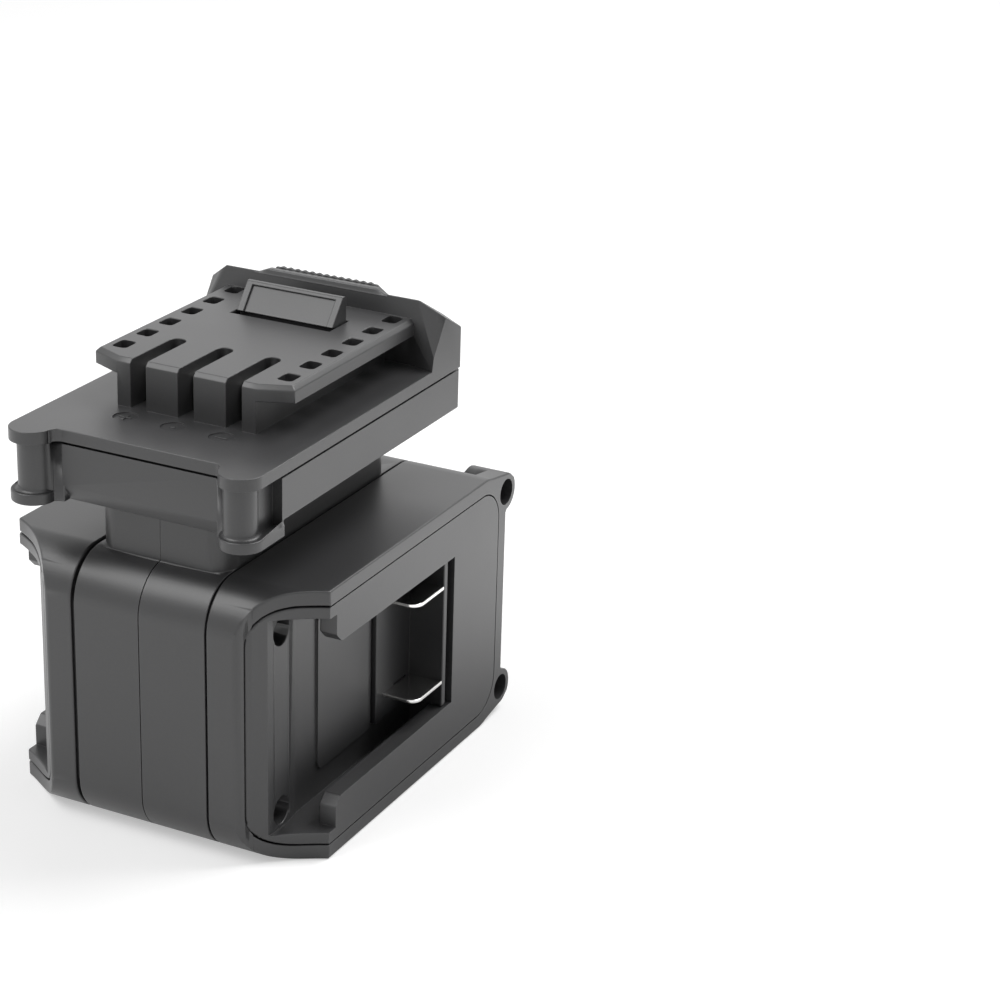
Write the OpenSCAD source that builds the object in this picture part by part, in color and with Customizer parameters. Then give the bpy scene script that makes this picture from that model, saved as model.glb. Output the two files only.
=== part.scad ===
// Battery adapter with a slide head on top and a rail socket on each side.
// The front face looks along -Y, the sockets face +X and -X, and the base lies at z = 0.

/* [Rail interface] */
// Width of the slide rail that the head carries and the sockets take
rail_w = 47; // [44:0.5:50]
// Distance between the outer contacts
contact_span = 22.5; // [18:0.5:26]

/* [Housing] */
// Width over the two socket faces
housing_w = 74.4; // [71:0.2:84]
// Closed length behind the socket slots
closed_l = 24.3; // [20:0.1:40]
// Radius of the long edges
housing_r = 10; // [9:0.5:12]
// Width of the central band and of the neck
band_w = 31; // [28:0.5:32]
// Wall of the central band
band_t = 2.5; // [2:0.1:3]
// Width of the flat front face
face_w = 45.2; // [43:0.2:48]
// Distance of the flare tips behind the front face
flare_l = 12; // [10:0.5:14]
// Hollow of the flare below its chord
flare_sag = 1; // [0.6:0.1:1.6]
// Radius between front face and flare
flare_edge_r = 2; // [1:0.5:2.5]
// Wall of the side shells
rim_t = 3.2; // [2.6:0.1:3.6]
// Wall of the side shells behind the front face
front_rim_t = 1.4; // [1.2:0.1:2.4]
// Open joint between the left shell and the band
joint_left_w = 0.85; // [0.3:0.05:1]
// Tight joint between the right shell and the band
joint_right_w = 0.35; // [0.3:0.05:1]
// Depth of the joints
joint_depth = 1; // [0.6:0.1:1.4]
// Half width of the hairline between the two band halves
parting_w = 0.1; // [0.1:0.05:0.3]

/* [Socket] */
// Length of the slot behind the front face
slot_l = 65.7; // [62:0.1:75]
// Depth of the slot below the outer face
slot_depth = 10.4; // [9.5:0.1:12]
// Play of a rail in the slot, both sides together
slot_play = 1; // [0.4:0.1:2]
// Wall above and below the slot, shell included
slot_wall = 6; // [5.6:0.1:9]
// Clear width between the two lips
lip_gap = 34.8; // [32:0.2:38]
// Thickness of the lips
lip_t = 4; // [3:0.1:5]
// Distance of the lip ends behind the front face
lip_front = 14.8; // [13:0.1:18]
// Lead-in at the lip ends
lip_lead = 2; // [1:0.1:3]
// Wall of the socket moulding
socket_t = 2.2; // [1.6:0.1:2.6]
// Height of the raised pad on the slot floor
pad_h = 0.5; // [0.3:0.1:0.8]
// Distance of the pad behind the front face
pad_front = 24.5; // [22:0.5:26]
// Gap between the pad and the terminal block
pad_gap = 0.4; // [0.3:0.1:2]
// Gap round the socket moulding
seam_gap = 0.3; // [0.2:0.05:0.5]

/* [Blades] */
// Thickness of a blade
blade_t = 0.8; // [0.6:0.1:1.2]
// Length of a blade along the slot
blade_l = 12; // [9:0.5:14]
// Distance of the blade tips below the outer face
blade_inset = 0.6; // [0.4:0.1:2]
// Corner radius of a blade
blade_r = 2.5; // [1:0.5:3]
// Length of the terminal block along the slot
block_seat_l = 18.4; // [17:0.1:19]
// Thickness of the terminal block
block_t = 1.6; // [1:0.1:2.2]

/* [Mounting ears] */
// Bore of the rear ears
ear_bore = 6; // [4:0.1:6.2]
// Outer diameter of the rear ears
ear_od = 8.6; // [8.2:0.1:9]
// Length of the rear ears
ear_l = 9.4; // [6:0.2:12]
// Thickness of the webs between ears and shell
ear_web_t = 4.4; // [3:0.2:6]

/* [Neck] */
// Distance of the neck behind the front face
neck_front = 8.5; // [7:0.5:10]
// Length of the neck
neck_l = 67.1; // [60:0.1:70]
// Height of the neck
neck_h = 14.8; // [10:0.1:20]
// Radius of the upright neck edges
neck_r = 5; // [4:0.5:7]

/* [Slide head] */
// Distance of the head behind the front face
head_front = 1.2; // [0.8:0.1:2]
// Deck left and right of the rail
deck_side = 5.5; // [5:0.1:8]
// Deck in front of the rail
deck_front = 17.3; // [15:0.1:20]
// Height of the tray walls
tray_h = 9.4; // [9:0.1:14]
// Wall and floor of the tray
tray_t = 2.2; // [1.8:0.1:2.4]
// Depth of the foot bar below the tray
foot_drop = 3.6; // [3:0.1:5]
// Thickness of the foot rings
foot_t = 2.4; // [1.6:0.1:2.8]
// Length of the foot bar behind the front face
foot_l = 8.3; // [7.6:0.1:8.4]
// Bevel under the tray front
foot_bevel = 1.9; // [1:0.1:2.4]
// Thickness of the deck
deck_t = 2.6; // [2.4:0.1:3.4]
// Diameter of the corner lugs
lug_d = 9.3; // [9:0.1:10]
// Diameter of the corner posts
post_d = 6.9; // [6.6:0.1:8]
// Shift of the posts towards the middle
post_shift = 0.4; // [0:0.1:0.6]
// Depth of the recess beside a post
notch_depth = 2.4; // [1.6:0.1:2.8]
// Length of the recess behind the front face
notch_l = 7.8; // [6:0.1:8]
// Radius between tray front and posts
post_fillet = 3; // [2:0.1:3.4]
// Radius between foot rings and posts
foot_fillet = 0.7; // [0.4:0.1:0.8]
// Length of the rail plate
plate_l = 52.5; // [50:0.5:58]
// Thickness of the rail plate
plate_t = 3.5; // [3:0.1:4.2]
// Height of the rail plate over the deck
plate_rise = 10.3; // [9.5:0.1:13]
// Width of the column under the rail plate
column_w = 32.8; // [32:0.2:36]
// Front corner cut of the rail plate across and along
plate_cut = [7, 3]; // [2:0.1:7]
// Bevel of the rail plate's upper edges
plate_bevel = 0.9; // [0.4:0.1:1.4]
// Width of the contact slots
contact_slot_w = 3.6; // [3.2:0.1:4.4]
// Length of the contact slots
contact_slot_l = 16.3; // [14:0.1:18]
// Vent holes along each edge
vent_count = 6; // [3:1:6]
// Vent hole across and along the rail
vent_size = [3.4, 4.4]; // [2:0.1:5]
// First vent hole behind the plate front
vent_front = 7.5; // [7:0.1:8]
// Last vent hole in front of the rear block
vent_rear = 2.5; // [2.4:0.1:3]
// Vent hole centre inside the plate edge
vent_inset = 4; // [3.6:0.1:4.4]

// Diameter of the round marks in front of the contact slots
mark_d = 5.2; // [4:0.1:6]
// Depth of the round marks
mark_depth = 0.3; // [0.2:0.05:0.5]
// Distance of the round marks in front of the rail plate
mark_front = 4.7; // [4:0.1:6]

/* [Rear block] */
// Length of the rear block
block_l = 11.8; // [11:0.1:16]
// Forward reach of the rear block's cheeks
cheek_reach = 2; // [1:0.1:3]
// Height of the rear block over the deck
block_rise = 14.4; // [13.6:0.1:16]
// Height of the rear block's back edge over the deck
block_back = 8.4; // [7.6:0.1:10]
// Turn of the slanted cheek facets
facet_turn = 45; // [40:1:50]
// Tilt of the slanted cheek facets
facet_tilt = 64; // [60:1:68]
// Shoulder cut across and down
shoulder = [5, 2]; // [1:0.1:6]

/* [Latch] */
// Width of the hook
hook_w = 23.4; // [18:0.2:24]
// Height of the hook over the rail plate
hook_h = 5.5; // [4:0.1:6]
// Length of the hook
hook_l = 5.8; // [4.5:0.1:6.5]
// Flat top of the hook
hook_top_l = 1.4; // [0.8:0.1:2]
// Hook front behind the plate front
hook_front = 38.2; // [36:0.1:40]
// Width of the release button
button_w = 25.2; // [22:0.2:25.6]
// Height of the button over the rear slope
button_h = 0.9; // [0.5:0.1:2]
// Spacing of the button ribs
rib_pitch = 1.8; // [1.4:0.1:3]
// Height of the button ribs
rib_h = 0.35; // [0.2:0.05:0.5]
// Gap between latch and cover
latch_gap = 0.4; // [0.3:0.05:0.6]
// Spring wire
spring_wire = 0.8; // [0.6:0.1:0.9]
// Outer diameter of a latch spring
spring_d = 7; // [6:0.5:8]
// Turns of a latch spring
spring_turns = 6; // [4:1:7]
// Distance between the two springs
spring_span = 16; // [12:1:18]

/* [Fasteners and leads] */
// Screw shank
screw_d = 3; // [2.5:0.1:3.2]
// Screw head
head_d = 5.5; // [5:0.1:5.6]
// Height of a screw head
head_h = 2; // [1.6:0.1:2.4]
// Play round a screw shank
screw_play = 0.2; // [0.1:0.05:0.4]
// Diameter of a lead
lead_d = 2.4; // [1.6:0.2:3]

/* [Hidden] */
$fn = 48;
eps = 0.5;

// Finish colours
plastic = "#2c2d2f";
inner_plastic = "#222325";
nickel = "#c9ccd0";
steel = "#8d9196";
red_lead = "#8c2420";
black_lead = "#1a1a1c";

// Housing levels and planes
slot_h = rail_w + slot_play;
housing_h = slot_h + 2 * slot_wall;
housing_l = slot_l + closed_l;
z_mid = housing_h / 2;
x_face = housing_w / 2;
x_band = band_w / 2;
x_floor = x_face - slot_depth;
x_lip = x_face - lip_t;
skirt_t = 2.5;
x_skirt = x_band + skirt_t;
opening_r_less = 2;
opening_r = housing_r - opening_r_less;
ledge = 1.5;
parting_depth = 0.4;
pad_l = slot_l - block_seat_l - pad_gap - pad_front;

// Flare arc through the front corner and the tip
flare_from = [face_w / 2, 0];
flare_to = [x_face, flare_l];
flare_chord = norm(flare_to - flare_from);
flare_r = flare_chord * flare_chord / (8 * flare_sag) + flare_sag / 2;
flare_out = [flare_l, flare_from.x - x_face] / flare_chord;
flare_c = (flare_from + flare_to) / 2 + flare_out * (flare_r - flare_sag);

// Housing screws
screw_y = 9.8;
boss_wall = 1.2;
boss_d = head_d + 2 * boss_wall;
well_gap = 1.1;
screw_z = slot_h / 2 - head_d / 2 - well_gap;
head_gap = 0.3;
counterbore_d = head_d + 2 * head_gap;
screw_bore = screw_d + screw_play;
seat_h = 4;
x_seat = x_band + seat_h;
boss_x = 2;
bore_x = 4;
screw_x = 5;

// Rear ears, which reach as far behind the housing as the lugs reach in front of it
lug_y = 0.3;
overhang = lug_d / 2 - lug_y;
ear_y = housing_l + overhang - ear_od / 2;
ear_drop = 6;
ear_z = housing_h / 2 - ear_drop;

// Slide head levels and planes
tray_z = housing_h + neck_h;
foot_z = tray_z - foot_drop;
seam_z = tray_z + tray_h;
deck_z = seam_z + deck_t;
plate_z = deck_z + plate_rise;
head_w = rail_w + 2 * deck_side;
plate_front = head_front + deck_front;
block_front = plate_front + plate_l;
head_l = deck_front + plate_l + block_l;
head_rear = head_front + head_l;
head_rear_r = 1;
lug_x = head_w / 2 - lug_d / 2;
post_x = lug_x - post_shift;
cover_post_d = 7.8;
lug_fillet = 2;
tray_inset = 0.2;
spigot_d = 4.6;
seam_groove = 0.6;
groove_depth = 0.9;
spigot_l = 5.8;
spigot_gap = 0.2;
cheek_in = rail_w / 2 - 2;
crest_y = block_front + 1;
crest_z = deck_z + block_rise;
back_z = deck_z + block_back;
slope = atan2(crest_z - back_z, head_rear - crest_y);
cover_screw_in = [6, 5.8];
cover_screw_x = head_w / 2 - cover_screw_in.x;
cover_screw_y = head_rear - cover_screw_in.y;
cover_bore_l = 7;
cover_head_drop = 1;
vent_pitch = (plate_l - vent_front - vent_rear) / (vent_count - 1);
vent_r = 0.9;

// Neck screws
neck_boss_d = 7;
neck_screw_in = [5.2, 5.3];
neck_screw_x = x_band - neck_screw_in.x;
neck_screw_y = [neck_front + neck_screw_in.y, neck_front + neck_l - neck_screw_in.y];
neck_screw_l = 8;
neck_bore_l = neck_screw_l + 1;

// Contacts
slot_xs = [-contact_span / 2, 0, contact_span / 2];
holder_front = plate_front + 0.8;
holder_l = 16;
holder_top = seam_z - 0.3;
clip_in = 5.5;
clip_front = plate_front + clip_in;
clip_l = 8;
clip_t = 0.4;
clip_half = contact_slot_w / 2 - 0.3;
clip_top = plate_z - 2.8;
clip_foot = 4;

// Latch
latch_travel = hook_h;
ceiling_z = plate_z - plate_t;
beam_t = 3;
beam_top = ceiling_z - 0.3;
beam_half = column_w / 2 - 3.6;
cavity_half = column_w / 2 - 2;
cavity_wall = 3.7;
cavity_front = plate_front + contact_slot_l + cavity_wall;
hook_y = plate_front + hook_front;
hook_slot_front = 2;
hook_undercut = 1.2;
beam_front = hook_y - 1.2;
button_front = crest_y + 2.4;
button_rear = head_rear - 2.2;
rib_r = 0.6;
spring_y = hook_y + 5;
spring_foot = tray_z + tray_t;
spring_l = beam_top - beam_t - spring_foot;
peg_d = spring_d - 2 * spring_wire - 0.6;
peg_h = 2.4;

// Blades, with the tails that pass the slot floor
wall_gap = 1.9;
blade_rear = slot_l - wall_gap - block_t;
tail_l = 6.5;
tail_w = 5;
tail_in = 1.7;
tail_y = blade_rear - tail_in - tail_w;

// Leads, in the frame of the right side, distances behind the front face
lead_y = holder_front + holder_l;
lead_bend = 4;
lead_z = spring_foot + 3.5;
lead_in = 4;
lead_out = 9;
lead_window = [2 * (lead_out + lead_d), 3.5 * lead_bend];

// Places a piece drawn from the front face backwards
module from_front() {
    translate([0, -housing_l / 2, 0]) children();
}

module left_side() {
    mirror([1, 0, 0]) children();
}

// Rectangle with round corners, lower left corner at the origin
module round_rect(w, h, r) {
    translate([r, 0]) square([w - 2 * r, h]);
    translate([0, r]) square([w, h - 2 * r]);
    for (x = [r, w - r], y = [r, h - r])
        translate([x, y]) circle(r);
}

// Profile in the YZ plane drawn along X
module along_x(x0, x1) {
    translate([x0, 0, 0]) rotate([90, 0, 90]) linear_extrude(x1 - x0) children();
}

// Housing outline between two X planes, drawn in by an inset
module housing_slab(x0, x1, inset = 0) {
    along_x(x0, x1)
        translate([inset, inset])
            round_rect(housing_l - 2 * inset, housing_h - 2 * inset, housing_r - inset);
}

// Opening of a side shell between two X planes, drawn in by an inset
module opening_slab(x0, x1, inset = 0) {
    w = housing_l - front_rim_t - rim_t - 2 * inset;
    h = housing_h - 2 * rim_t - 2 * inset;
    along_x(x0, x1)
        translate([front_rim_t + inset, rim_t + inset])
            round_rect(w, h, opening_r - inset);
}

// Cylinder whose side hollows the flare, grown by a wall
module flare_cut(grow = 0) {
    translate([flare_c.x, flare_c.y, -eps])
        cylinder(h = housing_h + 2 * eps, r = flare_r + grow, $fn = 180);
}

// Removes the sharp edge between front face and flare
module flare_edge() {
    r = flare_edge_r;
    cx = flare_c.x - sqrt(pow(flare_r + r, 2) - pow(r - flare_c.y, 2));
    touch = flare_c + ([cx, r] - flare_c) * flare_r / (flare_r + r);
    translate([0, 0, -eps]) linear_extrude(housing_h + 2 * eps)
        difference() {
            polygon([[cx, r], [cx, -eps], [touch.x, -eps], touch]);
            translate([cx, r]) circle(r);
        }
}

// Cylinder along X
module x_rod(x0, x1, d, y, z) {
    translate([x0, y, z]) rotate([0, 90, 0]) cylinder(h = x1 - x0, d = d);
}

// Rear ear with its webs to the shell, sz is +1 at the top and -1 at the bottom
module rear_ear(sz) {
    r = ear_od / 2;
    translate([0, 0, z_mid]) mirror([0, 0, sz < 0 ? 1 : 0]) {
        x_rod(x_face - ear_l, x_face, ear_od, ear_y, ear_z);
        along_x(x_face - ear_web_t, x_face) {
            polygon([[housing_l - housing_r, z_mid - housing_r], [housing_l - housing_r, z_mid],
                     [ear_y, ear_z + r], [ear_y, ear_z]]);
            polygon([[ear_y - r, ear_z], [ear_y + r, ear_z], [housing_l, ear_z - r - 0.6],
                     [housing_l - rim_t, ear_z - r - 0.6]]);
        }
    }
}

// Shallow groove that shows as the hairline between the band halves
module parting() {
    difference() {
        housing_slab(-eps, parting_w, -eps);
        housing_slab(-2 * eps, parting_w + eps, parting_depth);
        translate([-2 * eps, neck_front, z_mid]) cube([3 * eps, neck_l, housing_h]);
    }
}

// Half of the central band with its half of the neck, on the +X side
module band_half() {
    module neck(inset, z0, z1) {
        r = neck_r - inset;
        translate([0, neck_front + inset, z0]) linear_extrude(z1 - z0)
            intersection() {
                translate([inset - x_band, 0]) round_rect(band_w - 2 * inset, neck_l - 2 * inset, r);
                square([x_band, neck_l]);
            }
    }
    module bosses() {
        for (sz = [-1, 1]) {
            x_rod(boss_x, x_band, boss_d, screw_y, z_mid + sz * screw_z);
            translate([boss_x, band_t / 2, z_mid + sz * screw_z - boss_wall])
                cube([x_band - boss_x, screw_y - band_t / 2, 2 * boss_wall]);
        }
        for (y = neck_screw_y)
            translate([neck_screw_x, y, housing_h - band_t / 2])
                cylinder(h = tray_z - housing_h + band_t / 2, d = neck_boss_d);
    }
    difference() {
        union() {
            difference() {
                union() {
                    housing_slab(0, x_band);
                    neck(0, housing_h - band_t, tray_z);
                }
                housing_slab(-eps, x_band + eps, band_t);
                neck(band_t, housing_h - 2 * band_t, tray_z + eps);
            }
            intersection() {
                bosses();
                union() {
                    housing_slab(0, x_band);
                    neck(0, housing_h - band_t, tray_z);
                }
            }
        }
        for (sz = [-1, 1])
            x_rod(bore_x, x_band + eps, screw_bore, screw_y, z_mid + sz * screw_z);
        for (y = neck_screw_y)
            translate([neck_screw_x, y, tray_z - neck_bore_l])
                cylinder(h = neck_bore_l + eps, d = screw_bore);
        parting();
    }
}

// Side shell on the +X side: a tube cut by the flare, with two rear ears
module shell(joint_w) {
    difference() {
        union() {
            housing_slab(x_band, x_face);
            for (sz = [-1, 1])
                rear_ear(sz);
        }
        opening_slab(x_skirt, x_face + eps);
        opening_slab(x_band - eps, x_skirt + eps, ledge);
        flare_cut();
        flare_edge();
        for (sz = [-1, 1])
            x_rod(x_face - ear_l - eps, x_face + eps, ear_bore, ear_y, z_mid + sz * ear_z);
        difference() {
            housing_slab(x_band - eps, x_band + joint_w, -eps);
            housing_slab(x_band - 2 * eps, x_band + joint_w + eps, joint_depth);
        }
    }
}

// Slot that takes a battery rail, open to the front and between the lips
module rail_slot() {
    lip_half = lip_gap / 2;
    slot_half = slot_h / 2;
    translate([x_floor, -eps, z_mid - slot_half])
        cube([slot_depth - lip_t, slot_l + eps, slot_h]);
    translate([x_floor, -eps, z_mid - slot_half])
        cube([slot_depth + eps, lip_front + eps, slot_h]);
    translate([x_floor, -eps, z_mid - lip_half])
        cube([slot_depth + eps, slot_l + eps, lip_gap]);
    along_x(x_lip - eps, x_face + eps)
        for (sz = [-1, 1])
            polygon([[lip_front - eps, z_mid + sz * (lip_half - eps)],
                     [lip_front + lip_lead, z_mid + sz * (lip_half - eps)],
                     [lip_front + lip_lead, z_mid + sz * lip_half],
                     [lip_front, z_mid + sz * (lip_half + lip_lead)],
                     [lip_front - eps, z_mid + sz * (lip_half + lip_lead)]]);
}

// Socket moulding on the +X side, flush with the flare and the outer face
module socket() {
    bead_r = 40;
    bead_h = 0.6;
    pad_half = lip_gap / 2 + 0.6;
    difference() {
        union() {
            difference() {
                opening_slab(x_skirt, x_face, seam_gap);
                difference() {
                    opening_slab(x_skirt - eps, x_floor - socket_t, seam_gap + socket_t);
                    flare_cut(socket_t);
                }
                translate([x_floor - socket_t - eps, slot_l + socket_t, rim_t + socket_t + 1])
                    cube([slot_depth + eps, closed_l - 2 * socket_t - rim_t - 3,
                          housing_h - 2 * (rim_t + socket_t + 1)]);
                rail_slot();
            }
            for (sz = [-1, 1])
                x_rod(x_band, x_floor, boss_d, screw_y, z_mid + sz * screw_z);
            intersection() {
                translate([x_floor + bead_h - bead_r, screw_y, z_mid - slot_h / 2])
                    cylinder(h = slot_h, r = bead_r, $fn = 96);
                translate([x_floor - socket_t / 2, 0, z_mid - slot_h / 2])
                    cube([socket_t, 3 * screw_y, slot_h]);
            }
            along_x(x_floor - socket_t / 2, x_floor + pad_h)
                translate([pad_front, z_mid - pad_half])
                    round_rect(pad_l, 2 * pad_half, 2);
        }
        flare_cut();
        for (sz = [-1, 1]) {
            x_rod(x_seat, x_face, counterbore_d, screw_y, z_mid + sz * screw_z);
            x_rod(x_band - eps, x_face, screw_bore, screw_y, z_mid + sz * screw_z);
        }
        for (sz = [-1, 1])
            translate([x_floor - socket_t - eps, tail_y - seam_gap / 2,
                       z_mid + sz * contact_span / 2 - blade_t / 2 - seam_gap / 2])
                cube([socket_t + 2 * eps, tail_w + seam_gap, blade_t + seam_gap]);
    }
}

// Terminal block on the slot floor with its upright end wall, on the +X side
module terminal_block() {
    half = lip_gap / 2 - seam_gap;
    difference() {
        union() {
            translate([x_floor, slot_l - block_seat_l, z_mid - half])
                cube([block_t, block_seat_l, 2 * half]);
            translate([x_floor, blade_rear, z_mid - half])
                cube([slot_depth - blade_inset, block_t, 2 * half]);
        }
        for (sz = [-1, 1])
            translate([x_floor - eps, tail_y - seam_gap / 2,
                       z_mid + sz * contact_span / 2 - blade_t / 2 - seam_gap / 2])
                cube([block_t + 2 * eps, tail_w + seam_gap, blade_t + seam_gap]);
    }
}

// Blade standing out of the terminal block, on the +X side, sz picks the upper or lower one
module blade(sz) {
    front_y = blade_rear - blade_l;
    x0 = x_floor + block_t;
    x1 = x_face - blade_inset;
    translate([0, 0, z_mid + sz * contact_span / 2 - blade_t / 2]) linear_extrude(blade_t) {
        translate([x0, front_y + blade_r]) square([x1 - x0, blade_l - blade_r]);
        translate([x0, front_y]) square([x1 - x0 - blade_r, blade_r]);
        translate([x1 - blade_r, front_y + blade_r]) circle(blade_r);
        translate([x_floor - tail_l, tail_y]) square([tail_l + block_t + eps, tail_w]);
    }
}

// Screw along +Z with its head below and a cross recess in the head
module screw(shank_l) {
    difference() {
        union() {
            translate([0, 0, -head_h]) cylinder(h = head_h, d = head_d);
            translate([0, 0, -eps]) cylinder(h = shank_l + eps, d = screw_d);
        }
        for (a = [0, 90])
            rotate(a) translate([-head_d / 3, -0.4, -head_h - eps])
                cube([2 * head_d / 3, 0.8, head_h / 2 + eps]);
    }
}

// Two screws that hold shell and socket to the band, on the +X side
module housing_screws() {
    for (sz = [-1, 1])
        translate([x_seat, screw_y, z_mid + sz * screw_z])
            rotate([0, -90, 0]) screw(x_seat - screw_x);
}

// Plan of the head with its front lugs, drawn in by an inset
module head_plan(lugs = true, inset = 0) {
    w = head_w - 2 * inset;
    r = head_rear_r;
    translate([-w / 2, head_front + inset]) square([w, head_l - 2 * inset - r]);
    translate([-w / 2 + r, head_front + inset]) square([w - 2 * r, head_l - 2 * inset]);
    for (sx = [-1, 1])
        translate([sx * (w / 2 - r), head_rear - inset - r]) circle(r);
    if (lugs)
        for (sx = [-1, 1]) {
            translate([sx * lug_x, lug_y]) circle(d = lug_d);
            translate([sx * lug_x - lug_d / 2, lug_y]) square([lug_d, head_front + 1]);
            difference() {
                translate([sx * (lug_x - lug_d / 2 - lug_fillet / 2) - lug_fillet / 2,
                           head_front - lug_fillet])
                    square([lug_fillet, lug_fillet + eps]);
                translate([sx * (lug_x - lug_d / 2 - lug_fillet), head_front - lug_fillet])
                    circle(lug_fillet);
            }
        }
}

// Lower half of the slide head, on the neck
module tray() {
    post = [post_x, lug_y];
    module web(inset, back = 0) {
        r = post_fillet + inset - tray_inset;
        front = head_front + inset;
        rear = front + back + eps;
        c = [post_x - sqrt(pow(post_d / 2 + r, 2) - pow(front - r - lug_y, 2)), front - r];
        difference() {
            polygon([[c.x, rear], c, post, [post_x, rear]]);
            translate(c) circle(r);
        }
    }
    module recess(grow) {
        translate([head_w / 2 - notch_depth - grow, 0]) square([head_w, notch_l + grow]);
    }
    module walls(inset) {
        difference() {
            head_plan(false, inset);
            for (sx = [0, 1])
                mirror([sx, 0]) recess(inset - tray_inset);
        }
        for (sx = [0, 1])
            mirror([sx, 0]) web(inset);
    }
    module cavity() {
        difference() {
            head_plan(false, tray_inset + tray_t);
            for (sx = [0, 1])
                mirror([sx, 0]) {
                    recess(tray_t);
                    translate(post) circle(post_d / 2 + tray_t / 2);
                }
        }
    }
    module front_strip() {
        translate([-head_w / 2, -lug_d]) square([head_w, lug_d + foot_l]);
    }
    module foot() {
        translate([0, 0, foot_z]) linear_extrude(foot_t) intersection() {
            for (sx = [-1, 1]) {
                translate([sx * lug_x, lug_y]) circle(d = lug_d);
                translate([sx * lug_x - lug_d / 2, lug_y]) square([lug_d, foot_l]);
            }
            front_strip();
        }
        difference() {
            translate([0, 0, foot_z]) linear_extrude(foot_drop + tray_t / 2) intersection() {
                walls(tray_inset);
                front_strip();
            }
            along_x(-head_w / 2, head_w / 2)
                polygon([[head_front, foot_z - eps], [head_front + tray_inset + foot_bevel, foot_z - eps],
                         [head_front + tray_inset + foot_bevel, foot_z],
                         [head_front + tray_inset, tray_z], [head_front, tray_z]]);
        }
        translate([0, 0, foot_z]) linear_extrude(foot_drop + tray_t / 2)
            for (sx = [0, 1])
                mirror([sx, 0]) web(tray_inset, foot_bevel);
    }
    color(plastic) from_front() difference() {
        union() {
            difference() {
                union() {
                    translate([0, 0, tray_z]) linear_extrude(tray_h - seam_groove) walls(tray_inset);
                    translate([0, 0, tray_z]) linear_extrude(tray_h) walls(tray_inset + groove_depth);
                }
                translate([0, 0, spring_foot]) linear_extrude(tray_h) cavity();
            }
            foot();
            for (sx = [-1, 1]) {
                translate([sx * post_x, lug_y, foot_z]) cylinder(h = seam_z - foot_z, d = post_d);
                translate([sx * post_x, lug_y, foot_z + foot_t]) rotate_extrude() difference() {
                    translate([post_d / 2 - eps, -eps]) square(foot_fillet + eps);
                    translate([post_d / 2 + foot_fillet, foot_fillet]) circle(foot_fillet);
                }
                translate([sx * cover_screw_x, cover_screw_y, tray_z])
                    cylinder(h = tray_h, d = cover_post_d);
                translate([sx * spring_span / 2, spring_y, spring_foot - eps])
                    cylinder(h = peg_h + eps, d = peg_d);
            }
        }
        translate([-lead_window.x / 2, lead_y + lead_d / 2, tray_z - eps])
            cube([lead_window.x, lead_window.y, tray_t + 2 * eps]);
        for (sx = [-1, 1]) {
            translate([sx * post_x, lug_y, foot_z - eps])
                cylinder(h = head_h + eps, d = counterbore_d);
            translate([sx * post_x, lug_y, foot_z - eps])
                cylinder(h = seam_z - foot_z + 2 * eps, d = screw_bore);
            translate([sx * post_x, lug_y, seam_z - spigot_l - spigot_gap])
                cylinder(h = spigot_l + spigot_gap + eps, d = spigot_d + 2 * screw_play);
            translate([sx * cover_screw_x, cover_screw_y, tray_z - eps])
                cylinder(h = head_h + cover_head_drop + eps, d = counterbore_d);
            translate([sx * cover_screw_x, cover_screw_y, tray_z - eps])
                cylinder(h = tray_h + 2 * eps, d = screw_bore);
            for (y = neck_screw_y)
                translate([sx * neck_screw_x, y, tray_z - eps])
                    cylinder(h = tray_t + 2 * eps, d = screw_bore);
        }
    }
}

// Plan of the rail plate
plate_plan = [[-rail_w / 2, block_front + eps], [-rail_w / 2, plate_front + plate_cut.y],
              [plate_cut.x - rail_w / 2, plate_front], [rail_w / 2 - plate_cut.x, plate_front],
              [rail_w / 2, plate_front + plate_cut.y], [rail_w / 2, block_front + eps]];

// Bevel along one edge of the plan at the plate's upper face
module plan_bevel(p, q) {
    d = q - p;
    s = plate_bevel * sqrt(2);
    translate([p.x, p.y, plate_z]) rotate(atan2(d.y, d.x)) rotate([45, 0, 0])
        translate([-eps, -s / 2, -s / 2]) cube([norm(d) + 2 * eps, s, s]);
}

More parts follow.
